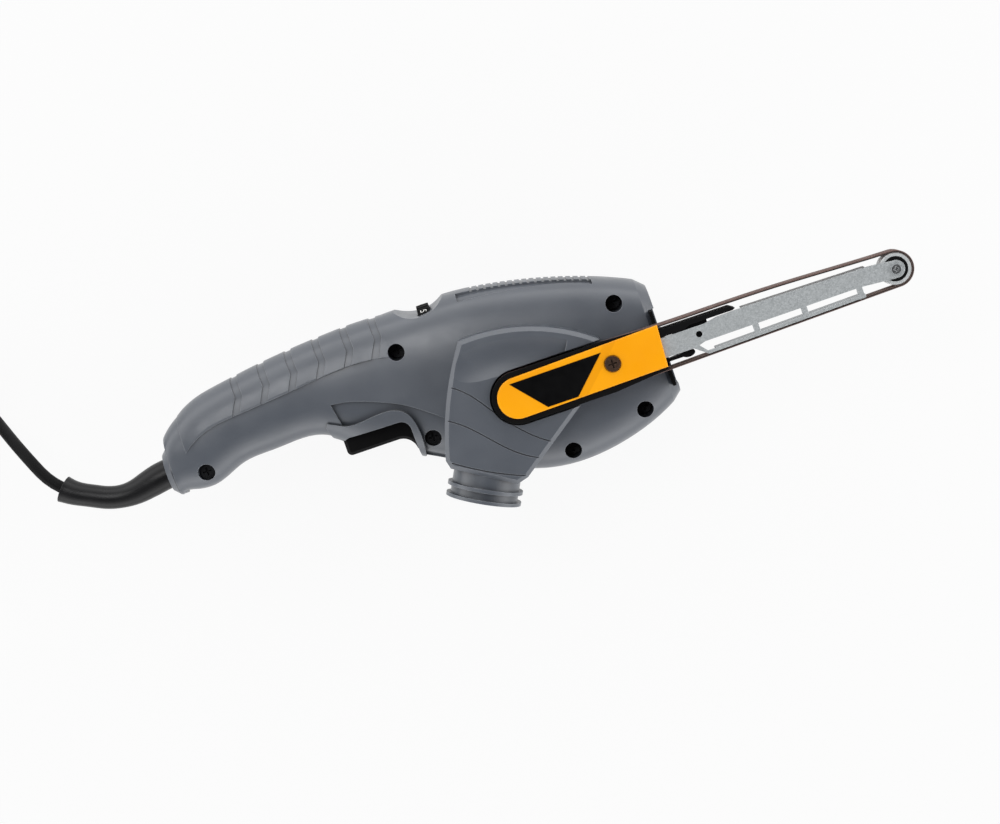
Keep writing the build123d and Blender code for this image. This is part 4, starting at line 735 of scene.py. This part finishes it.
def band_tree():
    """Geometry nodes that sweep a band with rounded edges along a closed line."""
    tree, given, result = new_group(
        "band along a line",
        "GeometryNodeTree",
        {
            "Line": "NodeSocketGeometry",
            "Width": "NodeSocketFloat",
            "Thickness": "NodeSocketFloat",
            "Edge Radius": "NodeSocketFloat",
            "Finish": "NodeSocketMaterial",
        },
        {"Band": "NodeSocketGeometry"},
    )
    run = add_node(tree, "GeometryNodeSplineParameter").outputs["Length"]
    line = marked(tree, given["Line"], "belt_run", run)
    sizes = {"Width": given["Width"], "Height": given["Thickness"]}
    section = add_node(tree, "GeometryNodeCurvePrimitiveQuadrilateral", sizes, mode="RECTANGLE")
    corners = {"Curve": section.outputs["Curve"], "Radius": given["Edge Radius"], "Count": 2}
    rounded = add_node(tree, "GeometryNodeFilletCurve", corners, mode="POLY")
    # Place across the band's thickness, which the belt's painted edge shade reads
    across = along(tree, tree.nodes.new("GeometryNodeInputPosition").outputs["Position"], "X")
    marked_across = marked(tree, rounded.outputs["Curve"], "belt_across", across)
    tree.links.new(swept(tree, line, marked_across, given["Finish"], caps=False), result["Band"])
    return tree


along_line = band_tree()


def closed_line(name, points):
    """A closed line through points, in millimetres."""
    data = bpy.data.curves.new(name, "CURVE")
    data.dimensions = "3D"
    spline = data.splines.new("POLY")
    spline.points.add(len(points) - 1)
    for target, point in zip(spline.points, points):
        target.co = [*(Vector(point) * mm), 1.0]
    spline.use_cyclic_u = True
    return link(bpy.data.objects.new(name, data))


def band(name, points, width, thickness, edge_radius, finish):
    """A band along a closed line, as a plain mesh. Its width is along the line's own normals."""
    values = {
        "Width": width * mm,
        "Thickness": thickness * mm,
        "Edge Radius": edge_radius * mm,
        "Finish": finish,
    }
    return grown(closed_line(name + "_line", points), along_line, values, name)


def arc_points(axis_x, radius, begin, end):
    """Points round a roller, from one angle to another."""
    angles = [begin + (end - begin) * step / arc_steps for step in range(arc_steps + 1)]
    return [(axis_x + radius * cos(angle), radius * sin(angle)) for angle in angles]


def run_points(start, end):
    """Points on the straight run between two rollers, without its ends."""
    shares = [step / strand_steps for step in range(1, strand_steps)]
    return [[a + share * (b - a) for a, b in zip(start, end)] for share in shares]


def belt_line():
    """Middle line of the belt: round the drive roller, along the arm, round the idler and back in a bow."""
    drive = drive_radius + belt_gap + belt_thickness / 2
    idler = idler_radius + belt_gap + belt_thickness / 2
    lean = acos((drive - idler) / axle_x)
    round_drive = arc_points(0.0, drive, lean, 2 * pi - lean)
    round_idler = arc_points(axle_x, idler, -lean, lean)
    low_run = run_points(round_drive[-1], round_idler[0])
    bow_end = round_idler[-1][0]
    high_run = []
    for x, y in run_points(round_idler[-1], round_drive[0]):
        slack = min(1, max(0, (x - bow_start) / (bow_end - bow_start)))
        high_run.append((x, y + belt_bow * sin(pi * slack) ** 2))
    middle_z = belt_low + belt_width / 2
    return [(x, y, middle_z) for x, y in round_drive + low_run + round_idler + high_run]


def sanding_belt():
    """The belt: grit on the outside and the edges, cloth inside."""
    line = belt_line()
    belt = band("sanding_belt", line, belt_thickness, belt_width, belt_edge_radius, finishes["abrasive"])
    belt.data.materials.append(cloth)
    for face in belt.data.polygons:
        middle = Vector((min(axle_x * mm, max(0, face.center.x)), 0, face.center.z))
        if face.normal.dot(face.center - middle) < 0 and abs(face.normal.z) < flat_edge_slope:
            face.material_index = 1
    return belt


belt = sanding_belt()
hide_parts("abrasive_belt")
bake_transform(belt)


def coil_tie():
    """Hook-and-loop tie round the coil's turns."""
    angle = coil_start + tie_turn
    way = Vector((cos(angle), sin(angle), 0))
    inner = coil_inner_radius - lead_radius - tie_room_beside
    outer = coil_outer_radius + lead_radius + tie_room_beside
    top = coil_entry.z + coil_layer_step + lead_radius + tie_room_above
    middle = coil_centre + way * (inner + outer) / 2
    half_span = (outer - inner + tie_thickness) / 2
    half_rise = (top - tie_floor_gap) / 2
    centre_z = (tie_floor_gap + top + tie_thickness) / 2
    points = []
    corners = [(1, -1, -pi / 2), (1, 1, 0), (-1, 1, pi / 2), (-1, -1, pi)]
    for across, rise, begin in corners:
        for step in range(tie_corner_steps + 1):
            bend = begin + pi / 2 * step / tie_corner_steps
            off_middle = across * (half_span - tie_corner) + tie_corner * cos(bend)
            height = rise * (half_rise - tie_corner) + tie_corner * sin(bend)
            point = middle + way * off_middle
            points.append((point.x, point.y, centre_z + height))
    return band("coil_tie", points, tie_width, tie_thickness, tie_edge_radius, finishes["tie_fabric"])


tie = coil_tie()
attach(tie, "housing")
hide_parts("cord_tie")


# Springs
def spring_tree():
    """Geometry nodes that wind a wire spring up the Z axis."""
    tree, given, result = new_group(
        "wound spring",
        "GeometryNodeTree",
        {
            "Base": "NodeSocketGeometry",
            "Turns": "NodeSocketFloat",
            "Coil Radius": "NodeSocketFloat",
            "Wire Radius": "NodeSocketFloat",
            "Length": "NodeSocketFloat",
            "Finish": "NodeSocketMaterial",
        },
        {"Spring": "NodeSocketGeometry"},
    )
    winding = {
        "Resolution": spring_steps,
        "Rotations": given["Turns"],
        "Start Radius": given["Coil Radius"],
        "End Radius": given["Coil Radius"],
        "Height": given["Length"],
    }
    line = add_node(tree, "GeometryNodeCurveSpiral", winding).outputs["Curve"]
    round_wire = {"Resolution": wire_sides, "Radius": given["Wire Radius"]}
    wire = add_node(tree, "GeometryNodeCurvePrimitiveCircle", round_wire, mode="RADIUS").outputs["Curve"]
    tree.links.new(swept(tree, line, wire, given["Finish"], caps=True), result["Spring"])
    return tree


wound_spring = spring_tree()


def spring(name, start, way, length, wire):
    """A compression spring from a start point along a direction."""
    base = link(bpy.data.objects.new(name + "_base", bpy.data.meshes.new(name + "_base")))
    turned = Vector(way).to_track_quat("Z", "Y").to_matrix().to_4x4()
    base.matrix_world = Matrix.Translation(start * mm) @ turned
    values = {
        "Turns": spring_turns,
        "Coil Radius": spring_radius * mm,
        "Wire Radius": wire * mm,
        "Length": length * mm,
        "Finish": finishes["steel"],
    }
    return grown(base, wound_spring, values, name)


arm_spring = spring("arm_spring", tension_start, (1, 0, 0), tension_length, tension_wire)
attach(arm_spring, "housing")
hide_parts("tension_spring")
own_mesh(arm_spring)

return_spring = spring("return_spring", trigger_spring_start, (0, 1, 0), trigger_spring_length, trigger_wire)
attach(return_spring, "housing")
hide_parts("trigger_spring")
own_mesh(return_spring)


# Numbers round the speed dial
def dial_number(number, turn):
    """One number on the dial's rim, read along the dial's axis. The turn is from the rim's highest point."""
    text = bpy.data.curves.new("number", "FONT")
    text.body = number
    text.size = number_height * mm * font_size_per_height
    text.extrude = number_depth * mm
    text.align_x = "CENTER"
    text.align_y = "CENTER"
    label = link(bpy.data.objects.new("number", text))
    out = Vector((0, sin(turn), cos(turn)))
    up = Vector((1, 0, 0))
    right = up.cross(out)
    turned = Matrix((right, up, out)).transposed().to_4x4()
    label.matrix_world = Matrix.Translation((dial_centre + out * dial_radius) * mm) @ turned
    printed = plain_mesh(label, "dial_number_" + number)
    printed.data.materials.clear()
    printed.data.materials.append(number_ink)
    return printed


step_turn = dial_sweep / len(dial_numbers)
for index, number in enumerate(dial_numbers):
    turn = mark_turn + (index - dial_numbers.index(number_at_mark)) * step_turn
    printed = dial_number(number, turn)
    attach(printed, "dial")


# Floor, light and background
def lit_white(name, share):
    """White that the camera, metal and glass see by a share, over a matt surface that takes shadow."""
    material = bpy.data.materials.new(name)
    material.use_nodes = True
    tree = material.node_tree
    tree.nodes.remove(tree.nodes["Principled BSDF"])
    path = tree.nodes.new("ShaderNodeLightPath").outputs
    seen = maths(tree, "MAXIMUM", path["Is Camera Ray"], path["Is Glossy Ray"])
    seen = maths(tree, "MAXIMUM", seen, path["Is Transmission Ray"])
    matt = add_node(tree, "ShaderNodeBsdfDiffuse", {"Color": (floor_grey, floor_grey, floor_grey, 1.0)})
    glow = add_node(tree, "ShaderNodeEmission", {"Color": (1.0, 1.0, 1.0, 1.0), "Strength": 1.0})
    layers = {0: maths(tree, "MULTIPLY", seen, share), 1: matt.outputs[0], 2: glow.outputs[0]}
    mixed = add_node(tree, "ShaderNodeMixShader", layers)
    tree.links.new(mixed.outputs[0], tree.nodes["Material Output"].inputs["Surface"])
    return material


def floor():
    """A plain pale floor under the tool."""
    mesh = bpy.data.meshes.new("floor")
    form = bmesh.new()
    bmesh.ops.create_grid(form, x_segments=1, y_segments=1, size=floor_half)
    form.to_mesh(mesh)
    form.free()
    mesh.transform(Matrix.Translation((0, 0, -floor_drop)))
    mesh.materials.append(lit_white("pale_floor", floor_white))
    link(bpy.data.objects.new("floor", mesh))


def soft_lamp(name, place, size, watts):
    """A square soft lamp that faces the tool."""
    data = bpy.data.lights.new(name, "AREA")
    data.size = size
    data.energy = watts
    lamp = link(bpy.data.objects.new(name, data))
    lamp.location = place
    lamp.rotation_mode = "QUATERNION"
    lamp.rotation_quaternion = (lamp_aim - Vector(place)).to_track_quat("-Z", "Y")


def studio_world():
    """Plain surroundings, pale round the sides and dim overhead."""
    world = bpy.data.worlds.new("studio")
    bpy.context.scene.world = world
    world.use_nodes = True
    tree = world.node_tree
    height = along(tree, tree.nodes.new("ShaderNodeTexCoord").outputs["Generated"], "Z")
    background = tree.nodes["Background"]
    background.inputs["Color"].default_value = (1.0, 1.0, 1.0, 1.0)
    light = spread(tree, height, sky_heights, (side_light, overhead_light))
    tree.links.new(light, background.inputs["Strength"])


floor()
for lamp in lamps:
    soft_lamp(*lamp)
studio_world()
bpy.context.scene.view_settings.view_transform = "Standard"
